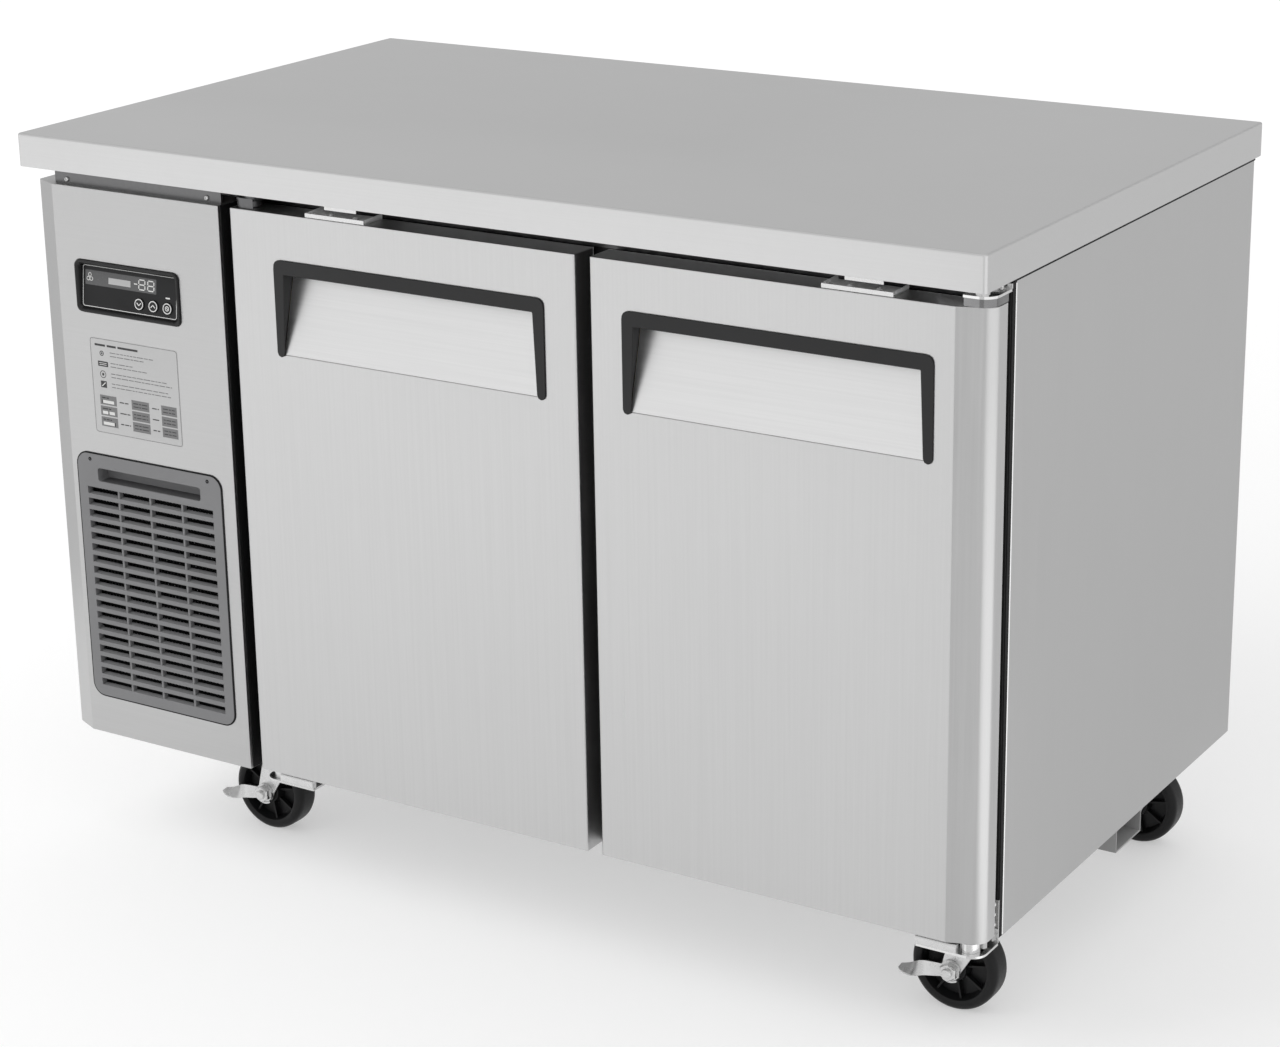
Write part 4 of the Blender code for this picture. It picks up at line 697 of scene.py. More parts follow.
# Places on the label, in shares of its width and of its height from the top
LABEL_TITLE = ((0.055, 0.175), (0.195, 0.300), (0.320, 0.550))
LABEL_TITLE_DOWN = 0.070
LABEL_ICON = 0.130
LABEL_ICON_ROWS = (0.155, 0.265, 0.375, 0.480)
LABEL_LINE_START = 0.225
LABEL_LINE_RISE = 0.018
LABEL_LINE_ENDS = ((0.72, 0.62), (0.50, 0.64), (0.86, 0.92), (0.87, 0.90))
LABEL_TABLE_ROWS = ((0.595, 0.695), (0.710, 0.810), (0.825, 0.925))
LABEL_DARK_COLUMNS = ((0.075, 0.265), (0.440, 0.640), (0.780, 0.955))
LABEL_PALE_COLUMNS = ((0.300, 0.415), (0.675, 0.750))
LABEL_TICKS = (0.03, 0.5, 0.97)

# Dashes: the shortest, how much longer they get with the seed, the gap between them, and the room one needs
DASH_LENGTH = 0.020
DASH_GROWTH = 0.00055
DASH_GAP = 0.010
DASH_ROOM = 0.012


def label_spot(across, down):
    """Point on the label."""
    return share_of(LABEL_LOW, LABEL_HIGH, across, 1.0 - down)


def stroke(shape, start, end, line, depth):
    """Bar between two places on the label."""
    bar(shape, label_spot(*start), label_spot(*end), line, depth)


def patch(shape, start, end, depth):
    """Plate between two places on the label."""
    plate(shape, label_spot(*start), label_spot(*end), depth)


def dashes(shape, start, end, down, line, seed, depth):
    """Row of short dashes standing for a line of print."""
    while start < end - DASH_ROOM:
        seed = (seed * 37 + 11) % 101
        length = min(DASH_LENGTH + DASH_GROWTH * seed, end - start)
        stroke(shape, (start, down), (start + length, down), line, depth)
        start += length + DASH_GAP


def print_rows(dark, cells, ink):
    """Title, and two lines of dashes beside each icon."""
    for start, end in LABEL_TITLE:
        stroke(dark, (start, LABEL_TITLE_DOWN), (end, LABEL_TITLE_DOWN), TITLE_LINE, ink)
    for row, (down, ends) in enumerate(zip(LABEL_ICON_ROWS, LABEL_LINE_ENDS)):
        for line, end in enumerate(ends):
            seed = row * 5 + line * 3 + 2
            level = down + LABEL_LINE_RISE * (2 * line - 1)
            dashes(cells, LABEL_LINE_START, end, level, TEXT_LINE, seed, ink)


def print_icons(dark, pale, ink, over):
    """Plain icons: dotted ring, lined box, starred ring and crossed box."""
    first, third = [label_spot(LABEL_ICON, LABEL_ICON_ROWS[row]) for row in (0, 2)]
    disc(dark, first, 0.0030, ink, 0.0021)
    disc(dark, first, 0.0011, ink)
    patch(dark, (0.080, 0.292), (0.195, 0.238), ink)
    for down in (0.256, 0.274):
        stroke(pale, (0.095, down), (0.180, down), 0.0006, over)
    disc(dark, third, 0.0044, ink, 0.0037)
    for turn in (0, 60, 120):
        start, end = arc(third, 0.0018, turn + 180, turn, 1)
        bar(dark, start, end, 0.0009, ink)
    patch(dark, (0.098, 0.515), (0.165, 0.445), ink)
    stroke(pale, (0.110, 0.500), (0.153, 0.460), 0.0011, over)


def print_table(dark, cells, pale, ink, over, top_ink):
    """Small table of dashes, with a bar and a tick in each row's first cell."""
    for row, (top, bottom) in enumerate(LABEL_TABLE_ROWS):
        for left, right in LABEL_DARK_COLUMNS:
            patch(cells, (left, bottom), (right, top), ink)
        for left, right in LABEL_PALE_COLUMNS:
            dashes(dark, left, right, between(top, bottom, 0.5), 0.0012, row + 4, ink)
        for left, right in LABEL_DARK_COLUMNS[1:]:
            for share in (0.34, 0.68):
                dashes(dark, left + 0.02, right - 0.02, between(top, bottom, share), 0.0010, row + 7, over)
        left, right = LABEL_DARK_COLUMNS[0][0] + 0.022, LABEL_DARK_COLUMNS[0][1] - 0.030
        dashes(dark, left, right - 0.04, between(top, bottom, 0.27), 0.0013, row + 9, over)
        patch(pale, (left, between(top, bottom, 0.84)), (right, between(top, bottom, 0.52)), over)
        tick = between(left, right, LABEL_TICKS[row])
        ends = [(tick, between(top, bottom, share)) for share in (0.86, 0.50)]
        stroke(dark, *ends, 0.0014, top_ink)


def build_label():
    """Thin printed film with an outline, icons, dashes and a small table."""
    front = PANEL_CORNER.y
    ink, over, top_ink = [(front - rise, front) for rise in LABEL_LAYERS]
    film = prism(bmesh.new(), rounded(LABEL_LOW, LABEL_HIGH, 0.004), "Y", front - SKIN, front + SKIN)
    piece("label_film", film, LABEL)
    outline = border(bmesh.new(), inset(LABEL_LOW, LABEL_HIGH, 0.0004), 0.0005, 0.0036, ink)
    piece("label_outline", outline, PRINT_CELL)
    dark, cells, pale = bmesh.new(), bmesh.new(), bmesh.new()
    print_rows(dark, cells, ink)
    print_icons(dark, pale, ink, over)
    print_table(dark, cells, pale, ink, over, top_ink)
    piece("label_dark_marks", dark, PRINT_DARK)
    piece("label_cells", cells, PRINT_CELL_GREY)
    piece("label_pale_marks", pale, PRINT)


# Louvre grille

GRILLE_ROWS = 18
GRILLE_COLUMNS = 4
GRILLE_MARGIN = 0.013
GRILLE_PITCH = 0.014
GRILLE_SLOT = 0.0085
GRILLE_RIB = 0.003
RIB_SETBACK = 0.0007
GRILLE_CORNER = 0.015
PULL_WIDTH = 0.152
PULL_HEIGHT = 0.016
PULL_DROP = 0.016
PULL_DEPTH = 0.019
PULL_WALL = 0.0015
PULL_CORNER = 0.0035
SEAL_WIDTH = 0.0016
GRILLE_SCREW = (0.0022, 0.0006)
GRILLE_SCREW_DROP = 0.0065
FILTER_GAP = 0.0042
FILTER_PITCH = 0.0048
FILTER_WIRE = 0.0031
FILTER_SHEET = 0.0007


def pull_outline(grow):
    """Rounded outline of the grille's finger pull."""
    (low, high), _, _ = face_of("louvre_grille")
    middle, top = (low[0] + high[0]) / 2, high[1] - PULL_DROP
    corners = (middle - PULL_WIDTH / 2, top - PULL_HEIGHT), (middle + PULL_WIDTH / 2, top)
    return rounded(*inset(*corners, -grow), PULL_CORNER + grow)


def build_grille():
    """Grille plate with slots, sloping slats and set-back ribs."""
    (low, high), front, back = face_of("louvre_grille")
    left, right, base = low[0] + GRILLE_MARGIN, high[0] - GRILLE_MARGIN, low[1] + GRILLE_MARGIN
    floors = [base + row * GRILLE_PITCH for row in range(GRILLE_ROWS)]
    cutter = bmesh.new()
    for floor in floors:
        block(cutter, (left, front - CUT_PAST, floor), (right, back + CUT_PAST, floor + GRILLE_SLOT))
    prism(cutter, pull_outline(0.0), "Y", front - CUT_PAST, back + CUT_PAST)
    shape = cut(prism(bmesh.new(), rounded(low, high, GRILLE_CORNER, 8), "Y", front, back), cutter)
    soften(shape, SMALL_EDGE)
    pitch = (right - left + GRILLE_RIB) / GRILLE_COLUMNS
    for column in range(1, GRILLE_COLUMNS):
        end = left + column * pitch
        rib = rounded((end - GRILLE_RIB, front + RIB_SETBACK), (end, back - 0.0004), 0.0008, 3)
        prism(shape, rib, "Z", base - 0.001, base + GRILLE_ROWS * GRILLE_PITCH)
    for floor in floors:
        slat = [(front + 0.0012, floor - 0.0004), (back - 0.0010, floor + 0.0010),
                (back - 0.0010, floor - 0.0004), (front + 0.0012, floor - 0.0020)]
        prism(shape, slat, "X", left - 0.0004, right + 0.0004)
    stand_for("louvre_grille", shape, GREY)


def build_pull():
    """Closed pocket of the finger pull, with a dark grey sheet on its floor as painted shade."""
    (low, high), front, back = face_of("louvre_grille")
    end = front + PULL_DEPTH
    pocket = prism(bmesh.new(), pull_outline(PULL_WALL), "Y", back - 0.0001, end)
    hollow = prism(bmesh.new(), pull_outline(0.0), "Y", back - CUT_PAST, end - PULL_WALL)
    piece("grille_finger_pull", cut(pocket, hollow), GREY)
    # A dark grey sheet on the pocket's floor is painted shade in the recess.
    middle, floor = (low[0] + high[0]) / 2, high[1] - PULL_DROP - PULL_HEIGHT
    reach = PULL_WIDTH / 2 - 0.0030
    plan = rounded((middle - reach, front + 0.0012), (middle + reach, end - 0.0016), 0.0006)
    shade_sheet = prism(bmesh.new(), plan, "Z", floor - SKIN, floor + 0.0003)
    piece("grille_pull_shade", shade_sheet, PULL_SHADE_GREY)


def build_grille_trim():
    """Seal round the grille, wide enough that its black band is partly painted shadow in the gap, and its
    two screws.
    """
    (low, high), front, _ = face_of("louvre_grille")
    # The seal reaches past the rim all round: partly a real seal, partly painted shadow in the gap round the
    # grille.
    outer = rounded(*inset(low, high, -SEAL_WIDTH), GRILLE_CORNER + SEAL_WIDTH, 8)
    inner = rounded(*inset(low, high, -0.0001), GRILLE_CORNER, 8)
    seal = band(bmesh.new(), outer, inner, (front + 0.0006, PANEL_CORNER.y + SKIN), -0.0003)
    piece("grille_seal_and_gap_shade", seal, SEAL)
    screws = bmesh.new()
    for across in (low[0] + 0.0195, high[0] - 0.0186):
        screw(screws, (across, front, high[1] - GRILLE_SCREW_DROP), "Y", -1, *GRILLE_SCREW)
    piece("grille_screws", screws, SEAL)


def build_filter():
    """Dark woven filter behind the grille, in front of the condenser."""
    (low, high), _, back = face_of("louvre_grille")
    front = back + FILTER_GAP
    start = (low[0] + GRILLE_MARGIN - 0.002, low[1] + GRILLE_MARGIN - 0.002)
    end = (high[0] - GRILLE_MARGIN + 0.002, low[1] + GRILLE_MARGIN + GRILLE_ROWS * GRILLE_PITCH - 0.004)
    shape = border(bmesh.new(), (start, end), 0.004, 0.005, (front, front + 0.003))
    for axis, level in enumerate((front + 0.0005, front + 0.0014)):
        for count in range(1, int((end[axis] - start[axis]) / FILTER_PITCH)):
            corner, far = [list(spot) for spot in inset(start, end, 0.003)]
            corner[axis] = start[axis] + count * FILTER_PITCH - FILTER_WIRE / 2
            far[axis] = corner[axis] + FILTER_WIRE
            plate(shape, corner, far, (level, level + FILTER_SHEET))
    piece("condenser_filter", shape, ENAMEL)


# Hinges and check rails

HINGE_FINISHES = (("left", "top", DULL_ZINC), ("left", "bottom", ZINC),
                  ("right", "top", CHROME), ("right", "bottom", CHROME))
FLANGE_FINISHES = {"left": DULL_ZINC, "right": POLISHED}
HINGE_INSET = 0.018
PIN_BACK = 0.015
PIN_RADIUS = 0.004
BRACKET_SHEET = 0.0026
BRACKET_BEND = 0.016
BRACKET_STEP = 0.012
TOP_PLATE_LENGTH = 0.031
TOP_PLATE_LIFT = 0.0088
BOTTOM_PLATE_DROP = 0.0060
BOSS_RADIUS = 0.0104
BOSS_CHAMFER = 0.0007
WASHER_RADIUS = 0.0078
WASHER_SHEET = 0.0009
LIP_SHARE = 0.64
LEG_SHEET = 0.0015
LEG_LENGTH = 0.016
LEG_SCREW_RISES = (0.016, 0.027, 0.038)
LEG_SCREW_INSET = 0.0065
RAIL_SHEET = 0.0012
RAIL_LIP = 0.0044
CATCH_WIDTH = 0.042
CATCH_DROP = 0.0095
CATCH_DEPTHS = (0.004, 0.0052, 0.024)
CATCH_SCREW_BACK = 0.011

# Top bracket's fasteners: how far along from the pin, and back from it, in from the back or down
PLATE_NUT_SPOT = (0.015, 0.008)
PLATE_SCREW_SPOT = (0.044, 0.007)
FRONT_SCREWS_ALONG = (-0.006, 0.016)
FRONT_SCREW_DROP = 0.0042

# Radius and height of the nuts and screw heads
PIN_NUT = (0.0066, 0.0046)
PLATE_NUT = (0.0046, 0.0034)
FOOT_NUT = (0.0046, 0.0036)
PLATE_SCREW = (0.0034, 0.0026)
FRONT_SCREW = (0.0030, 0.0022)
LEG_SCREW = (0.0034, 0.0023)
RAIL_SCREW = (0.0030, 0.0016)
CATCH_SCREW = (0.0030, 0.0018)


def hinge_of(side):
    """Corners of a top bracket, its pin's place across, and the way it runs."""
    low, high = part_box(f"{side}_top_hinge_bracket")
    if side == "left":
        return low, high, low.x + HINGE_INSET, 1
    return low, high, high.x - HINGE_INSET, -1


def bracket_outline(side, length):
    """Plan of a bracket's plate, which is narrow beyond a length from its hinge end."""
    low, high, pin, way = hinge_of(side)
    edge = pin - way * HINGE_INSET
    far = edge + way * (high.x - low.x)
    neck = edge + way * length
    points = [(edge, high.y), (far, high.y)]
    if length < high.x - low.x:
        points += [(far, high.y - BRACKET_STEP), (neck + way * 0.004, high.y - BRACKET_STEP)]
    bend = (edge + way * BRACKET_BEND, low.y + BRACKET_BEND)
    return points + [(neck, low.y)] + arc(bend, BRACKET_BEND, 270, 270 - way * 90, 8)


def build_bracket(side, level, finish):
    """Pressed bracket: a thin plate, a leg on the cabinet and a boss round the pin."""
    node = f"{side}_{level}_hinge_bracket"
    low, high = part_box(node)
    _, _, pin, way = hinge_of(side)
    door_low, door_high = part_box(f"{side}_door_skin")
    if level == "top":
        floor = door_high.z + TOP_PLATE_LIFT
        length, leg = TOP_PLATE_LENGTH, high.x - low.x
        base, roof = door_high.z + SKIN, floor + SKIN
    else:
        floor = low.z - BOTTOM_PLATE_DROP
        length, leg = high.x - low.x, LEG_LENGTH
        base, roof = floor + BRACKET_SHEET - SKIN, door_low.z - SKIN
    shape = prism(bmesh.new(), bracket_outline(side, length), "Z", floor, floor + BRACKET_SHEET)
    edge = pin - way * HINGE_INSET
    start, end = sorted((edge, edge + way * leg))
    block(shape, (start, high.y - LEG_SHEET, floor + SKIN), (end, high.y, high.z))
    soften(shape, PRESSED_EDGE, 3)
    boss = [(PIN_RADIUS, base), (BOSS_RADIUS - BOSS_CHAMFER, base), (BOSS_RADIUS, base + BOSS_CHAMFER),
            (BOSS_RADIUS, roof - BOSS_CHAMFER), (BOSS_RADIUS - BOSS_CHAMFER, roof), (PIN_RADIUS, roof)]
    turned(shape, boss, "Z", (pin, low.y + PIN_BACK, 0.0), 40, closed=True)
    stand_for(node, shape, finish, crease=40.0)


def build_top_bolts(side):
    """Washer, nuts and screws of a door's top bracket."""
    low, high, pin, way = hinge_of(side)
    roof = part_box(f"{side}_door_skin")[1].z + TOP_PLATE_LIFT + BRACKET_SHEET
    deep = low.y + PIN_BACK
    washer = rectangle((PIN_RADIUS, 0.0), (WASHER_RADIUS, WASHER_SHEET))
    bolts = turned(bmesh.new(), washer, "Z", (pin, deep, roof), 28, closed=True)
    hexagon(bolts, (pin, deep, roof + WASHER_SHEET), "Z", 1, *PIN_NUT)
    along, back = PLATE_NUT_SPOT
    hexagon(bolts, (pin + way * along, deep + back, roof), "Z", 1, *PLATE_NUT)
    along, back = PLATE_SCREW_SPOT
    screw(bolts, (pin + way * along, high.y - back, roof), "Z", 1, *PLATE_SCREW)
    for along in FRONT_SCREWS_ALONG:
        spot = (pin + way * along, high.y - LEG_SHEET, high.z - FRONT_SCREW_DROP)
        screw(bolts, spot, "Y", -1, *FRONT_SCREW)
    piece(f"{side}_top_hinge_bolts", bolts, CHROME)


def build_bottom_trim(side):
    """Screws, rolled lip and nut of a door's bottom bracket."""
    low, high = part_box(f"{side}_bottom_hinge_bracket")
    _, _, pin, way = hinge_of(side)
    screws = bmesh.new()
    for rise in LEG_SCREW_RISES:
        spot = (pin - way * (HINGE_INSET - LEG_SCREW_INSET), high.y - LEG_SHEET, low.z + rise)
        screw(screws, spot, "Y", -1, *LEG_SCREW)
    piece(f"{side}_hinge_leg_screws", screws, CHROME)

    length = high.x - low.x
    far = pin + way * (length - HINGE_INSET)
    floor = low.z - BOTTOM_PLATE_DROP
    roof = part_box(f"{side}_door_skin")[0].z
    section = rounded((low.y - 0.0018, floor + 0.0018), (low.y + 0.0052, roof - 0.0010), 0.0034, 8)
    lip = prism(bmesh.new(), section, "X", *sorted((far, far - way * length * LIP_SHARE)))
    soften(lip, PANEL_EDGE, 3, angle=50.0)
    piece(f"{side}_bottom_hinge_lip", lip, ZINC, crease=40.0)
    spot = (pin - way * 0.006, low.y + HINGE_INSET + 0.014, floor + BRACKET_SHEET)
    piece(f"{side}_bottom_hinge_nut", hexagon(bmesh.new(), spot, "Z", 1, *FOOT_NUT), CHROME)


def build_hinge_flange(side):
    """Curved flange under the top plate, which follows the door's hinge corner."""
    low, high, pin, way = hinge_of(side)
    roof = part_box(f"{side}_door_skin")[1].z
    centre = Vector((pin, low.y + PIN_BACK))
    line = bracket_outline(side, TOP_PLATE_LENGTH)[-10:]
    line.append((pin - way * HINGE_INSET, high.y - 0.006))
    outer, inner = [[centre.lerp(Vector(point), share) for point in line] for share in (0.95, 0.86)]
    shape = wall(bmesh.new(), outer, inner, "Z", roof + 2 * SKIN, roof + TOP_PLATE_LIFT + SKIN)
    piece(f"{side}_top_hinge_flange", shape, FLANGE_FINISHES[side], crease=50.0)


def build_check_rail(side):
    """Folded tray on the door's top edge, with sloping ends and a low front lip."""
    low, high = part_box(f"{side}_door_check_rail")
    front, fold, top = low.y + RAIL_SHEET / 2, low.z + RAIL_SHEET / 2, low.z + RAIL_LIP
    shape = block(bmesh.new(), (low.x, front, low.z), (high.x, high.y, low.z + RAIL_SHEET))
    section = [(front, fold), (high.y, fold), (high.y, top + 0.0012), (front, top)]
    for start in (low.x, high.x - RAIL_SHEET):
        prism(shape, section, "X", start, start + RAIL_SHEET)
    soften(shape, FINE_EDGE)
    for share in (0.30, 0.70):
        spot = (between(low.x, high.x, share), (low.y + high.y) / 2, low.z + RAIL_SHEET)
        screw(shape, spot, "Z", 1, *RAIL_SCREW)
    stood_for = (f"{side}_door_check_rail",)
    piece(f"{side}_check_rail_form", shape, SATIN, f"{side}_door", stood_for)
    lip = block(bmesh.new(), low, (high.x, low.y + RAIL_SHEET, top))
    piece(f"{side}_check_rail_lip", soften(lip, FINE_EDGE), ZINC, f"{side}_door")


def build_rail_catch(side):
    """Small bent tab above each check rail, hanging from the worktop."""
    low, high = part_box(f"{side}_door_check_rail")
    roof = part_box("worktop")[0].z
    start = between(low.x, high.x, 0.30)
    front, inside, back = [low.y + deep for deep in CATCH_DEPTHS]
    top, under, foot = roof + 0.0004, roof - 0.0010, roof - CATCH_DROP
    section = [(front, top), (front, foot), (inside, foot), (inside, under), (back, under), (back, top)]
    shape = soften(prism(bmesh.new(), section, "X", start, start + CATCH_WIDTH), FINE_EDGE)
    screw(shape, (start + CATCH_WIDTH / 2, front + CATCH_SCREW_BACK, under), "Z", -1, *CATCH_SCREW)
    piece(f"{side}_rail_catch", shape, ZINC)


# Casters

FORK_OUT = 0.0205
FORK_BRIDGE = 0.024
FORK_CUT_BACK = 0.012
FORK_CUT_RISE = 0.006
PLATE_BOLT = (0.0058, 0.0045)
PLATE_BOLT_INSET = 0.008
AXLE_NUT = (0.0104, 0.0064, 0.0050)
LEG_LIP_RADII = (0.0138, 0.0118)
LEG_LIP_WIDTH = 0.0040
NUT_GAP = 0.0036
WHEEL_HALF = 0.016
WHEEL_RIBS = 8
TREAD_ROUND = 0.0072
RIM_DEPTH = 0.0125
RIB_TURN = 0.2
RIB_SHEET = 0.0022
LEVER_SHEET = 0.0026
LEVER_DROOP = math.radians(8.0)

# Bolt tip: radius and height
BOLT_TIP = ((0.0, 0.0), (0.0056, 0.0), (0.0056, 0.0086), (0.0047, 0.0096), (0.0, 0.0096))

# Brake lever: reach from the axle, half width, twist in degrees, and how far out and down
LEVER_BARS = (
    (0.0085, 0.0070, 0.0, 0.0, 0.0), (0.0200, 0.0080, 0.0, 0.0, 0.0),
    (0.0290, 0.0080, 8.0, 0.0004, 0.0), (0.0360, 0.0080, 30.0, 0.0022, 0.0006),
    (0.0420, 0.0082, 54.0, 0.0048, 0.0008), (0.0470, 0.0080, 72.0, 0.0068, 0.0002),
    (0.0515, 0.0066, 80.0, 0.0080, -0.0012), (0.0545, 0.0042, 82.0, 0.0086, -0.0026))


def axle_of(name):
    """Centre of a caster's wheel."""
    low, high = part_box(f"{name}_wheel")
    return (low + high) / 2


def build_fork(name):
    """Swivel fork whose legs are cut back below the bridge."""
    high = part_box(f"{name}_fork")[1]
    shape = welded(f"{name}_fork")
    for vert in shape.verts:
        if vert.co.x > high.x - WELD and vert.co.z < high.z - FORK_BRIDGE:
            vert.co.x -= FORK_CUT_BACK
            vert.co.z += FORK_CUT_RISE
    stand_for(f"{name}_fork", soften(shape, PRESSED_EDGE), ZINC)


def build_wheel(name):
    """Moulded wheel with a rounded tread, a recessed ribbed web and a hub."""
    centre = axle_of(name)
    half = WHEEL_HALF
    tread = centre.z - 0.0001
    rim = tread - RIM_DEPTH
    edge, side = tread - TREAD_ROUND, half - SKIN
    profile = [(0.0066, half), (0.0138, half), (0.0146, half - 0.0006), (0.0152, half - 0.0060),
               (0.0172, 0.0046), (rim - 0.0026, 0.0042), (rim - 0.0006, half - 0.0058),
               (rim + 0.0010, half - 0.0014), (rim + 0.0026, half - 0.0004), (edge, side)]
    profile += arc((edge, side - TREAD_ROUND), TREAD_ROUND, 72, 18, 3)
    profile.append((tread, half - 0.0085))
    profile += [(radius, -height) for radius, height in reversed(profile)]
    shape = turned(bmesh.new(), profile, "Y", centre, 72, closed=True)
    hub = Vector((centre.x, centre.z))
    depth = (centre.y - half + 0.0048, centre.y + half - 0.0048)
    for count in range(WHEEL_RIBS):
        angle = math.tau * count / WHEEL_RIBS + RIB_TURN
        way = Vector((math.cos(angle), math.sin(angle)))
        bar(shape, hub + way * 0.0142, hub + way * (rim - 0.0004), RIB_SHEET, depth)
    stand_for(f"{name}_wheel", shape, RUBBER, crease=35.0)


def build_axle_fittings(name):
    """Locknut, bolt head and the turned-out ends of the fork's legs."""
    centre = axle_of(name)
    shape = bmesh.new()
    for way in (-1, 1):
        spot = (centre.x, centre.y + way * (FORK_OUT + NUT_GAP), centre.z)
        hexagon(shape, spot, "Y", way, *AXLE_NUT)
        turned(shape, [(radius, way * height) for radius, height in BOLT_TIP], "Y", spot, 24)
        outer, inner = [arc((centre.x, centre.z), radius, 232, 308, 10) for radius in LEG_LIP_RADII]
        level = centre.y + way * (FORK_OUT - 0.0006)
        wall(shape, outer, inner, "Y", *sorted((level, level + way * LEG_LIP_WIDTH)))
    piece(f"{name}_axle_fittings", shape, ZINC, f"{name}_swivel")


def build_plate_bolts(name):
    """Four bolts under a caster's top plate."""
    low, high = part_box(f"{name}_plate")
    shape = bmesh.new()
    for corner in rectangle(*inset(low, high, PLATE_BOLT_INSET)):
        hexagon(shape, (*corner, low.z), "Z", -1, *PLATE_BOLT)
    piece(f"{name}_plate_bolts", shape, ZINC)


def build_brake_lever(name):
    """Pressed lever: an eye on the axle, and an arm that twists into a foot plate."""
    centre = axle_of(name)
    centre.y -= FORK_OUT + 0.0018
    along = Vector((-math.cos(LEVER_DROOP), 0.0, -math.sin(LEVER_DROOP)))
    upright = Vector((math.sin(LEVER_DROOP), 0.0, -math.cos(LEVER_DROOP)))
    outward = Vector((0.0, -1.0, 0.0))
    eye = rectangle((0.0066, -0.0015), (0.0112, 0.0015))
    shape = turned(bmesh.new(), eye, "Y", centre, 40, closed=True)
    rings = []
    for reach, half, twist, out, drop in LEVER_BARS:
        turn = math.radians(twist)
        side = (upright * math.cos(turn) + outward * math.sin(turn)) * half
        top = (outward * math.cos(turn) - upright * math.sin(turn)) * LEVER_SHEET / 2
        spot = centre + along * reach + outward * out + upright * drop
        corners = (spot - side - top, spot + side - top, spot + side + top, spot - side + top)
        rings.append([shape.verts.new(corner) for corner in corners])
    skin_over(shape, rings)
    stand_for(f"{name}_brake", soften(shape, SMALL_EDGE, angle=50.0), ZINC, crease=40.0)


# Seals and small sheet trims

TRIM_SHEET = 0.0012
SEAM_HEIGHT = 0.0022
SEAM_OUT = 0.0009
SEAM_IN = 0.0008


def build_side_seals():
    """Thin black seams between the worktop and the panels at the sides and back."""
    low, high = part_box("cabinet_shell")
    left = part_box("machine_side_panel")[0].x
    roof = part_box("worktop")[0].z
    base, top = roof - SEAM_HEIGHT, roof - SKIN
    shape = bmesh.new()
    for start, end in ((high.x - SEAM_IN, high.x + SEAM_OUT), (left - SEAM_OUT, left + SEAM_IN)):
        block(shape, (start, low.y + 0.002, base), (end, high.y, top))
    block(shape, (left + 0.001, high.y - SEAM_IN, base), (high.x - 0.001, high.y + SEAM_OUT, top))
    piece("worktop_seams", shape, SEAL)


def build_panel_edge():
    """Black edging beside the left door, partly a real gasket and partly painted shade in the gap, and the
    rail above the machine panel, dark as painted shade under the worktop.
    """
    low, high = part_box("machine_front_panel")
    # The black strip is partly the real gasket and partly painted shade that darkens the gap beside the left
    # door.
    corner = (high.x - SKIN, low.y + 0.0045, low.z + 0.001)
    edge_shade = block(bmesh.new(), corner, (high.x + 0.0008, high.y, high.z - 0.001))
    piece("panel_edge_seal_shade", edge_shade, SEAL)

    # The rail's dark steel is painted shade under the worktop.
    left, front = low.x + 0.028, low.y + 0.009
    base, top = high.z - SKIN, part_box("worktop")[0].z - SKIN
    rail = block(bmesh.new(), (left, front, base), (high.x - 0.002, front + TRIM_SHEET, top))
    block(rail, (left, front + 0.0010, base), (left + TRIM_SHEET, high.y, top))
    piece("machine_top_rail", rail, SHADED_RAIL_STEEL)
    screws = bmesh.new()
    for share in (0.17, 0.92):
        screw(screws, (between(low.x, high.x, share), front, high.z + 0.0048), "Y", -1, *FRONT_SCREW)
    piece("machine_rail_screws", screws, ZINC)


def build_door_rail():
    """Rail on the front frame above the doors, dark as painted shade under the worktop."""
    low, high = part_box("front_frame")
    start = (low.x + 0.002, low.y - SKIN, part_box("left_door_skin")[1].z - 0.002)
    rail = block(bmesh.new(), start, (high.x - 0.002, low.y + SKIN, high.z))
    piece("door_top_rail", rail, SHADED_RAIL_STEEL)


# Cabinet front and inside

SHELL_SHEET = 0.0012
SHELL_SETBACK = 0.0085
LINER_SHEET = 0.0010
LINER_COVE = 0.012
LEDGE_WIDTH = 0.012
LEDGE_HEIGHT = 0.010
LEDGE_SHEET = 0.0012
LEDGE_SCREW = (0.0026, 0.0014)
SHELF_WIRE = 0.0028
SHELF_PITCH = 0.0225
SHELF_CORNER = 0.014
GASKET_WIDTH = 0.014
GASKET_CORNER = 0.009
DYKE_MARGIN = 0.006
DYKE_CORNER = 0.024
DOOR_BEAD = 0.007
DOOR_BEAD_MARGIN = 0.044
COVER_SHEET = 0.0012
COVER_CORNER = 0.010
COVER_ROUND = 0.006
COVER_SLOTS = 9
COVER_SLOT = 0.007
COVER_SLOT_START = 0.030
COVER_SLOT_PITCH = 0.0215
FAN_HOLE = 0.066
FAN_FROM_FRONT = 0.078
GUARD_RINGS = (0.016, 0.030, 0.044, 0.058)
GUARD_SPOKE = (0.004, 0.0685)

# Gasket section: how far in from its outer edge, and how far from the door
GASKET_SECTION = (
    (0.0012, 0.0), (0.0002, 0.0008), (0.0002, 0.0020), (0.0016, 0.0030), (0.0004, 0.0044), (0.0, 0.0074),
    (0.0010, 0.0090), (0.0026, 0.0094), (0.0056, 0.0094), (0.0063, 0.0087), (0.0070, 0.0094),
    (0.0114, 0.0094), (0.0130, 0.0090), (0.0140, 0.0074), (0.0136, 0.0044), (0.0124, 0.0030),
    (0.0138, 0.0020), (0.0138, 0.0008), (0.0128, 0.0))

# Fan ring: how far out from the hole and from the cover; guard's hub: radius and height
FAN_RING = ((0.0, -0.0010), (-0.0008, 0.0012), (0.0010, 0.0026), (0.0040, 0.0024), (0.0062, -SKIN))
GUARD_HUB = ((0.0, 0.0026), (0.0062, 0.0026), (0.0074, 0.0036), (0.0066, 0.0044), (0.0, 0.0048))


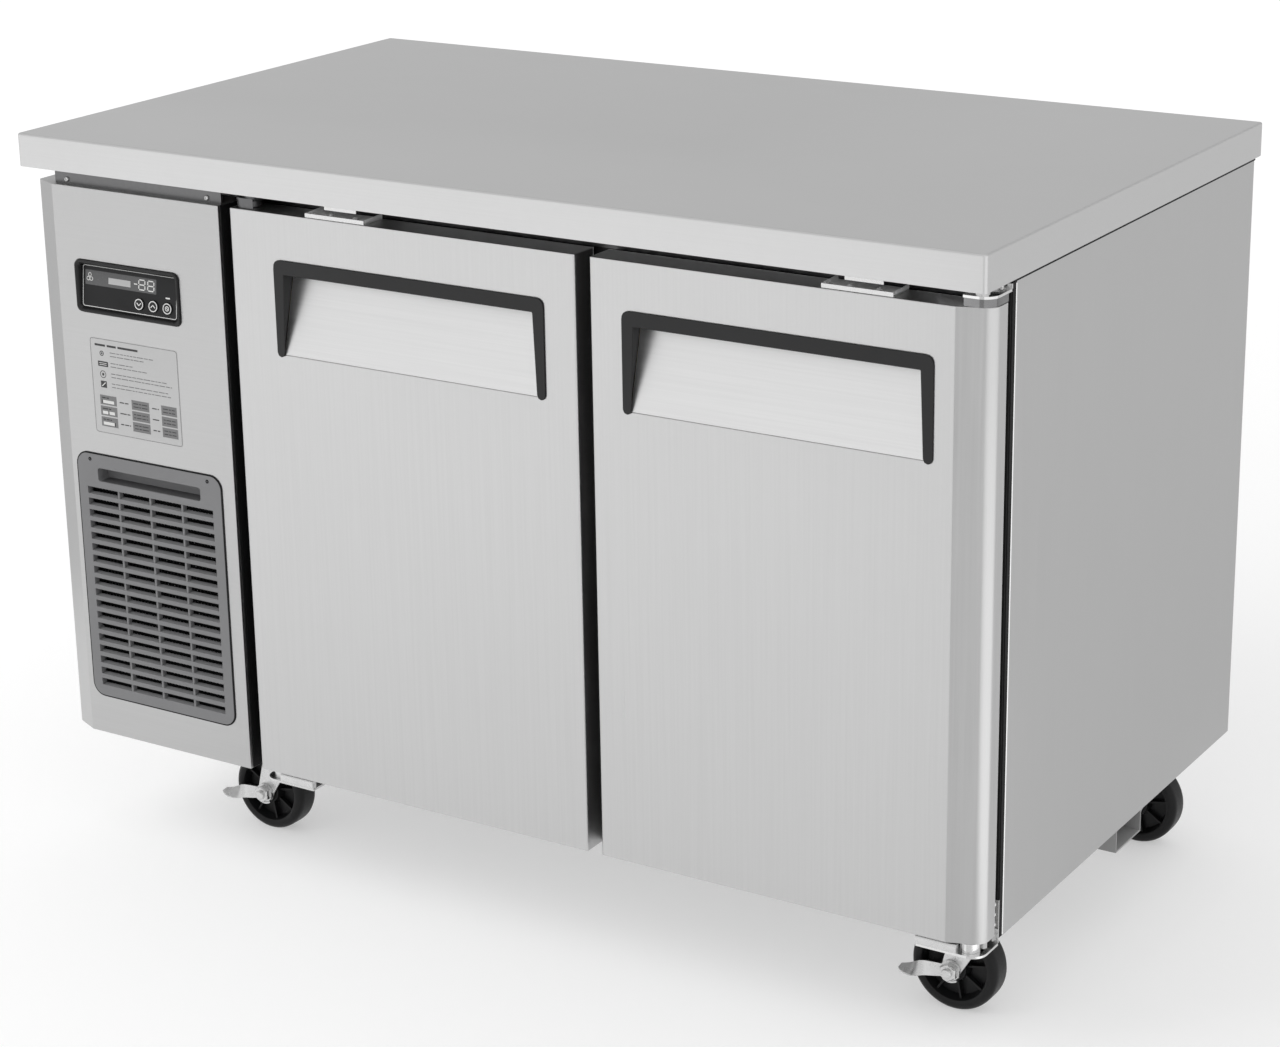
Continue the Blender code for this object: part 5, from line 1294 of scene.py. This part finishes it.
def build_shell():
    """Steel shell with a dark breaker strip at its front, and behind it a bead of brighter steel, a painted
    highlight on the shell's front edge.
    """
    outline, front, _ = face_of("cabinet_shell")
    shape = welded("cabinet_shell")
    for vert in shape.verts:
        if vert.co.y < front + WELD:
            vert.co.y += SHELL_SETBACK
    stand_for("cabinet_shell", soften(shape, PANEL_EDGE), STEEL_SHADED_SIDE)

    edge = front + SHELL_SETBACK
    outer = inset(*outline, SKIN)
    inner = rounded(*inset(*outer, SHELL_SHEET), 0.0004)
    strip = band(bmesh.new(), rounded(*outer, 0.0012), inner, (front + 0.0004, edge + 0.0006), -SKIN)
    piece("cabinet_breaker_strip", strip, SEAL)
    # The bead's brighter steel is a painted highlight on the shell's front edge.
    (_, floor), (right, roof) = outline
    ends = [(right - 0.0006, edge - SKIN, up) for up in (floor + 0.002, roof - 0.004)]
    bead = rod(bmesh.new(), ends, 0.0011, ACROSS, 16)
    piece("shell_edge_highlight", bead, EDGE_HIGHLIGHT_STEEL, crease=50.0)


def ledge(shape, axis, face, way, low, high, top):
    """Bent angle on a wall, which a shelf rests on."""
    root, fold, reach = [face + way * out for out in (-LINER_SHEET / 2, LEDGE_SHEET, LEDGE_WIDTH)]
    under, foot = top - LEDGE_SHEET, top - LEDGE_HEIGHT
    section = [(root, top), (reach, top), (reach, under), (fold, under), (fold, foot), (root, foot)]
    prism(shape, section, axis, low, high)


def build_liner():
    """Liner with coved corners, and the ledges that the shelves rest on."""
    outline, front, back = face_of("cabinet_liner")
    floor = back - LINER_SHEET
    inner = inset(*outline, LINER_SHEET)
    sharp = rounded(*outline, SKIN)
    steps = [(0.0, front)] + cove(LINER_COVE, floor, (0, 18, 36, 54, 72, 90))
    levels = [(sharp, back), (sharp, front)] + nested(inner, LINER_COVE, 0.9, steps)
    stand_for("cabinet_liner", loft(bmesh.new(), "Y", levels), LINER, crease=40.0)

    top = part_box("left_shelf")[0].z - 0.0003
    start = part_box("front_frame")[1].y
    (left, _), (right, _) = inner
    ledges = bmesh.new()
    for face, way in ((left, 1), (right, -1)):
        ledge(ledges, "Y", face, way, start, floor - LEDGE_WIDTH, top)
    ledge(ledges, "X", floor, -1, left + 2 * LEDGE_WIDTH, right - 2 * LEDGE_WIDTH, top)
    soften(ledges, SMALL_EDGE)
    for share in (0.15, 0.5, 0.85):
        for face, way in ((left, 1), (right, -1)):
            spot = (face + way * LEDGE_SHEET, between(start, floor, share), top - 0.0060)
            screw(ledges, spot, "X", way, *LEDGE_SCREW, 14)
    piece("shelf_ledges", ledges, LINER)


def build_shelf(name):
    """Wire shelf: a round rim, wires from front to back, and bars under them."""
    low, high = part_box(name)
    rim, wire = (high.z - low.z) / 2, SHELF_WIRE / 2
    plan = inset(low, high, rim)
    (left, front), (right, back) = plan
    points = [(*spot, low.z + rim) for spot in rounded(*plan, SHELF_CORNER)]
    shape = rod(bmesh.new(), points, rim, UP, 12, closed=True)
    count = round((high.x - low.x) / SHELF_PITCH)
    for index in range(1, count):
        across = between(low.x, high.x, index / count)
        rod(shape, [(across, deep, high.z - wire) for deep in (front, back)], wire, UP)
    for share in (0.25, 0.50, 0.75):
        deep = between(low.y, high.y, share)
        rod(shape, [(across, deep, low.z + wire) for across in (left, right)], wire, UP)
    stand_for(name, shape, WIRE, crease=50.0)


def build_door_inside(side):
    """Folded gasket, and an inner liner with a rounded dyke and pressed beads."""
    seal, front, _ = face_of(f"{side}_door_gasket")
    steps = [(shrink, front + out) for shrink, out in GASKET_SECTION]
    gasket = loft(bmesh.new(), "Y", nested(seal, GASKET_CORNER, 0.5, steps), closed=True)
    stand_for(f"{side}_door_gasket", gasket, SEAL, crease=40.0)

    sheet, front, crown = face_of(f"{side}_door_liner")
    base = front + 0.002
    dyke = inset(*seal, GASKET_WIDTH + DYKE_MARGIN)
    steps = ((0.0, base), (0.0008, base + 0.0030), (0.0016, crown - 0.0012), (0.0034, crown),
             (0.0150, crown), (0.0168, crown - 0.0014), (0.0184, base + 0.0018), (0.0200, base + 0.0005))
    edge = rounded(*sheet, 0.002)
    levels = [(edge, front), (edge, base)] + nested(dyke, DYKE_CORNER, 0.6, steps)
    shape = loft(bmesh.new(), "Y", levels)
    (left, floor), (right, roof) = inset(*dyke, DOOR_BEAD_MARGIN)
    rises = ((0.0, base), (0.0012, base + 0.0018), (0.0034, base + 0.0028))
    for share in (0.2, 0.4, 0.6, 0.8):
        up = between(floor, roof, share)
        loft(shape, "Y", nested(((left, up - DOOR_BEAD), (right, up + DOOR_BEAD)), 0.0068, 1.0, rises))
    stand_for(f"{side}_door_liner", shape, WHITE, crease=35.0)


def fan_spot():
    """Place of the evaporator cover's face, and the middle of its fan opening."""
    low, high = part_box("evaporator_cover")
    return high.x, (low.y + FAN_FROM_FRONT, (low.z + high.z) / 2)


def build_evaporator_cover():
    """Cover with rounded edges, a round fan opening and return-air slots."""
    low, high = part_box("evaporator_cover")
    outline = (low.y, low.z), (high.y, high.z)
    face, middle = fan_spot()
    steps = [(0.0, low.x)] + cove(COVER_ROUND, face, (0, 30, 60, 90))
    shape = loft(bmesh.new(), "X", nested(outline, COVER_CORNER, 0.9, steps))
    inside = rounded(*inset(*outline, COVER_SHEET), COVER_CORNER - COVER_SHEET)
    shape = cut(shape, prism(bmesh.new(), inside, "X", low.x - CUT_PAST, face - COVER_SHEET))
    openings = [circle(middle, FAN_HOLE, 64)]
    start, end = middle[0] + FAN_HOLE + 0.028, high.y - 0.022
    for row in range(COVER_SLOTS):
        floor = low.z + COVER_SLOT_START + row * COVER_SLOT_PITCH
        openings.append(rounded((start, floor), (end, floor + COVER_SLOT), 0.0034))
    cutter = bmesh.new()
    for opening in openings:
        prism(cutter, opening, "X", face - 0.004, face + CUT_PAST)
    stand_for("evaporator_cover", cut(shape, cutter), WHITE, crease=40.0)


def build_fan_guard():
    """Moulded ring round the fan opening, and a guard of wire rings and spokes."""
    face, middle = fan_spot()
    section = [(FAN_HOLE + out, height) for out, height in FAN_RING]
    ring = turned(bmesh.new(), section, "X", (face, *middle), 64, closed=True)
    piece("evaporator_fan_ring", ring, WHITE, crease=45.0)
    guard = bmesh.new()
    out = face + 0.0030
    for radius in GUARD_RINGS:
        points = [(out, *spot) for spot in circle(middle, radius, 48)]
        rod(guard, points, 0.0010, ACROSS, 8, closed=True)
    for spots in zip(*[arc(middle, reach, 30, 330, 5) for reach in GUARD_SPOKE]):
        rod(guard, [(out - 0.0012, *spot) for spot in spots], 0.0011, ACROSS, 8)
    turned(guard, GUARD_HUB, "X", (face - 0.0010, *middle), 24)
    piece("evaporator_fan_guard", guard, CHROME, crease=60.0)


def build_inside():
    """Shell, frame and all that shows when a door is open."""
    build_shell()
    build_liner()
    dress("front_frame", BLACK, PANEL_EDGE, 3)
    for side in SIDES:
        build_shelf(f"{side}_shelf")
        build_door_inside(side)
    build_evaporator_cover()
    build_fan_guard()


# Back and left side

REAR_ROWS = 10
REAR_MARGIN = 0.036
REAR_PITCH = 0.028
REAR_SLOT_START = 0.330
REAR_SLOT = 0.0085
REAR_SHEET = 0.0008
REAR_INSET = 0.006
HOOD_SHEET = 0.0010
GLAND_RISE = 0.055
GLAND_RADIUS = 0.010
GLAND_NUT = (0.0152, 0.0030)
REAR_BEAD = 0.010
REAR_BEAD_MARGIN = 0.060
SCREW_EDGE = 0.010
REAR_SCREW = (0.0036, 0.0022)
SIDE_SCREW = (0.0034, 0.0016)
SIDE_SCREW_INSET = 0.012

# Louvre hood: how far out from the panel and up from its slot's top; gland's bush: radius and height
HOOD_OUTSIDE = ((-SKIN, 0.0042), (0.0022, 0.0034), (0.0044, 0.0012), (0.0060, -0.0024))
HOOD_INSIDE = ((0.0050, -0.0026), (0.0034, 0.0006), (0.0016, 0.0024), (-SKIN, 0.0030))
GLAND_BUSH = ((0.0051, 0.0024), (0.0051, 0.0064), (0.0066, 0.0074), (0.0086, 0.0066),
              (0.0104, 0.0046), (0.0108, 0.0024))


def build_rear_louvres():
    """Pressed hood over each slot of the rear panel."""
    low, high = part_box("machine_rear_panel")
    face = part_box("cabinet_shell")[1].y
    left, right = low.x + REAR_MARGIN - 0.003, high.x - REAR_MARGIN + 0.003
    shape = bmesh.new()
    for row in range(REAR_ROWS):
        floor = low.z + REAR_SLOT_START + row * REAR_PITCH
        outside, inside = [[(face + out, floor + REAR_SLOT + up) for out, up in hood]
                           for hood in (HOOD_OUTSIDE, HOOD_INSIDE)]
        foot = floor + 0.0004
        outside.append((face + 0.0068, foot))
        prism(shape, outside + [(face + 0.0058, foot)] + inside, "X", left, right)
        for start in (left, right - HOOD_SHEET):
            prism(shape, outside + [(face - SKIN, foot)], "X", start, start + HOOD_SHEET)
    piece("rear_louvres", shape, STEEL_SHADED_SIDE, crease=40.0)


def build_gland():
    """Nut and bush of the cord's gland."""
    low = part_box("machine_rear_panel")[0]
    spot = (low.x + REAR_MARGIN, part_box("cabinet_shell")[1].y, low.z + GLAND_RISE)
    gland = hexagon(bmesh.new(), spot, "Y", 1, *GLAND_NUT, GLAND_RADIUS + SKIN)
    turned(gland, GLAND_BUSH, "Y", spot, 32, closed=True)
    piece("cord_gland_nut", gland, BLACK)


def build_rear_sheet():
    """Sheet with pressed beads on the cabinet's back."""
    outline, _, face = face_of("cabinet_shell")
    edge = inset(*outline, REAR_INSET)
    (left, floor), (right, roof) = edge
    level = face + REAR_SHEET
    sheet = prism(bmesh.new(), rounded(*edge, 0.006), "Y", face - SKIN, level)
    rises = ((0.0, level), (0.0030, level + 0.0016), (0.0064, level + 0.0024))
    for share in (0.25, 0.50, 0.75):
        across = between(left, right, share)
        start = (across - REAR_BEAD, floor + REAR_BEAD_MARGIN)
        bead = start, (across + REAR_BEAD, roof - REAR_BEAD_MARGIN)
        loft(sheet, "Y", nested(bead, 0.0098, 1.0, rises))
    piece("rear_sheet", sheet, GALVANISED, crease=40.0)


def build_rear_screws():
    """Screws of the rear panel, the rear sheet and the side panel."""
    outline, _, face = face_of("cabinet_shell")
    panel = face_of("machine_rear_panel")[0]
    (_, floor), (_, roof) = outline
    screws = bmesh.new()
    for corners, level in ((panel, face), (inset(*outline, REAR_INSET), face + REAR_SHEET)):
        for across, _ in inset(*corners, SCREW_EDGE):
            for share in (0.05, 0.35, 0.65, 0.95):
                screw(screws, (across, level, between(floor, roof, share)), "Y", 1, *REAR_SCREW)
    low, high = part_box("machine_side_panel")
    for deep in (low.y + SIDE_SCREW_INSET, (low.y + high.y) / 2, high.y - SIDE_SCREW_INSET):
        screw(screws, (low.x, deep, low.z + SIDE_SCREW_INSET), "X", -1, *SIDE_SCREW)
    piece("rear_screws", screws, ZINC)


def build_details():
    """All the pieces that are finer than the CAD nodes."""
    build_inside()
    for build in (build_rear_louvres, build_gland, build_rear_sheet, build_rear_screws, build_bezel,
                  build_display, build_button_marks, build_label, build_grille, build_pull,
                  build_grille_trim, build_filter):
        build()
    for row in HINGE_FINISHES:
        build_bracket(*row)
    for side in SIDES:
        for build in (build_top_bolts, build_bottom_trim, build_hinge_flange, build_check_rail,
                      build_rail_catch):
            build(side)
    for name in CASTERS:
        for build in (build_fork, build_wheel, build_axle_fittings, build_plate_bolts):
            build(name)
    for name in CASTERS[:2]:
        build_brake_lever(name)
    build_side_seals()
    build_panel_edge()
    build_door_rail()


# Floor, lights and camera, in metres from the cabinet's centre

FLOOR_REACH = 14.0
WHITE_LIGHT = (1.0, 1.0, 1.0, 1.0)
LOW_CARD = (0.002, 0.004)
BOARD_OUTLINE = ((0.75, -0.56), (1.80, -2.38), (3.11, -0.97), (2.68, 0.90), (0.86, -0.15))
SIDE_FLAG_OUTLINE = ((0.66, -0.10), (0.90, -0.10), (5.50, 2.80), (5.00, 8.50), (0.66, 8.50))


def seen_directly(tree, camera):
    """One for rays seen in metal and glass, and if asked for the camera's."""
    path = add(tree, "ShaderNodeLightPath").outputs
    seen = math_node(tree, "MAXIMUM", path["Is Glossy Ray"], path["Is Transmission Ray"])
    if camera:
        seen = math_node(tree, "MAXIMUM", seen, path["Is Camera Ray"])
    return seen


def floor_paper():
    """Matt white paper that fades to white away from the object, to the eye and in the metal."""
    material, tree, shader = start_material("floor_paper", neutral(0.62), 0.85)
    away = tree.nodes.new("ShaderNodeVectorMath")
    away.operation = "LENGTH"
    tree.links.new(object_spot(tree), away.inputs[0])
    fade = ramp(tree, away.outputs["Value"], 0.40, 0.52, 1.0, 4.5)
    glow = math_node(tree, "MULTIPLY", fade, seen_directly(tree, camera=True))
    feed(tree, shader, Specular_IOR_Level=0.1, Emission_Color=WHITE_LIGHT, Emission_Strength=glow)
    feed(tree, shader, Base_Color=tint(tree, noise(tree, 90.0), neutral(0.62), 0.005 / 0.62))
    return material


def build_floor():
    """Wide pale floor that keeps the object's shadow."""
    outline = rounded((-FLOOR_REACH, -FLOOR_REACH), (FLOOR_REACH, FLOOR_REACH), 6.0, 16)
    floor = placed("floor", prism(bmesh.new(), outline, "Z", -0.02, 0.0))
    floor.data.materials.append(floor_paper())


def build_world():
    """White surround for what the camera and the metal see, and softer light on the rest."""
    world = bpy.data.worlds.new("studio")
    world.use_nodes = True
    bpy.context.scene.world = world
    tree = world.node_tree
    way = add(tree, "ShaderNodeTexCoord").outputs["Generated"]
    deep = add(tree, "ShaderNodeSeparateXYZ", Vector=way).outputs["Y"]
    surround = ramp(tree, deep, 0.86, 0.64, -0.6, 0.9)
    mirror = add(tree, "ShaderNodeMix", Factor=seen_directly(tree, camera=False), A=0.80, B=surround)
    camera = add(tree, "ShaderNodeLightPath").outputs["Is Camera Ray"]
    shown = add(tree, "ShaderNodeMix", Factor=camera, A=mirror.outputs["Result"], B=1.0)
    feed(tree, tree.nodes["Background"], Color=WHITE_LIGHT, Strength=shown.outputs["Result"])


def build_light(name, spot, target, size, power):
    """Large soft lamp aimed at a point, which doesn't show in the metal."""
    lamp = bpy.data.lights.new(name, "AREA")
    lamp.shape = "SQUARE"
    lamp.size = size
    lamp.energy = power
    made = bpy.data.objects.new(name, lamp)
    made.location = spot
    made.visible_glossy = False
    made.rotation_euler = (Vector(target) - Vector(spot)).to_track_quat("-Z", "Y").to_euler()
    bpy.context.scene.collection.objects.link(made)


def card_finish(name, level):
    """Even glow of a card, with a faint unevenness."""
    material, tree, shader = start_material(name, neutral(0.02), 0.90)
    glow = ramp(tree, noise(tree, 3.0), level * 0.97, level * 1.03)
    feed(tree, shader, Emission_Color=WHITE_LIGHT, Emission_Strength=glow)
    return material


def build_card(name, outline, axis, levels, finish):
    """Studio card that only shows in the metal."""
    card = placed(name, prism(bmesh.new(), outline, axis, *levels))
    card.data.materials.append(finish)
    for sight in ("camera", "diffuse", "transmission", "shadow", "volume_scatter"):
        setattr(card, f"visible_{sight}", False)


def build_cards():
    """Grey flags that shade the slanted edges, and a bright card for the round one."""
    flag = card_finish("flag_cloth", 0.63)
    build_card("facet_flag", rounded((0.46, 0.0), (0.84, 0.95), 0.05), "Y", (-0.98, -0.97), flag)
    build_card("facet_flag_foot", rounded((0.50, -0.97), (0.86, -0.42), 0.05), "Z", LOW_CARD, flag)
    chamfer = rounded((-0.55, 0.0), (0.75, 0.90), 0.05)
    build_card("chamfer_flag", chamfer, "X", (-1.40, -1.39), card_finish("chamfer_cloth", 0.74))
    build_card("side_flag", SIDE_FLAG_OUTLINE, "Z", LOW_CARD, card_finish("side_cloth", 0.64))
    build_card("round_board", BOARD_OUTLINE, "Z", LOW_CARD, card_finish("bright_board", 1.28))


def build_camera():
    """Camera at the photograph's place and angle."""
    lens = bpy.data.cameras.new("camera")
    lens.lens = FOCAL_PIXELS * lens.sensor_width / FRAME_WIDTH
    lens.shift_x = (FRAME_WIDTH / 2 - AXIS_PIXEL[0]) / FRAME_WIDTH
    lens.shift_y = (AXIS_PIXEL[1] - FRAME_HEIGHT / 2) / FRAME_WIDTH
    camera = bpy.data.objects.new("camera", lens)
    place = Matrix.Translation(CAMERA_SPOT)
    for axis, angle in (("Z", CAMERA_AZIMUTH), ("X", 90.0 - CAMERA_ELEVATION), ("Z", CAMERA_ROLL)):
        place = place @ Matrix.Rotation(math.radians(angle), 4, axis)
    camera.matrix_world = place
    bpy.context.scene.collection.objects.link(camera)
    bpy.context.scene.camera = camera


def build_studio():
    """Floor, surround, lamp, cards and camera."""
    build_floor()
    build_world()
    build_light("key", (-3.2, -3.0, 4.0), (0.0, 0.0, 0.3), 3.6, 100.0)
    build_cards()
    build_camera()
    bpy.context.scene.view_settings.view_transform = "Standard"


def main():
    """Dress the frame and set the studio."""
    dress_nodes()
    build_details()
    build_studio()


main()
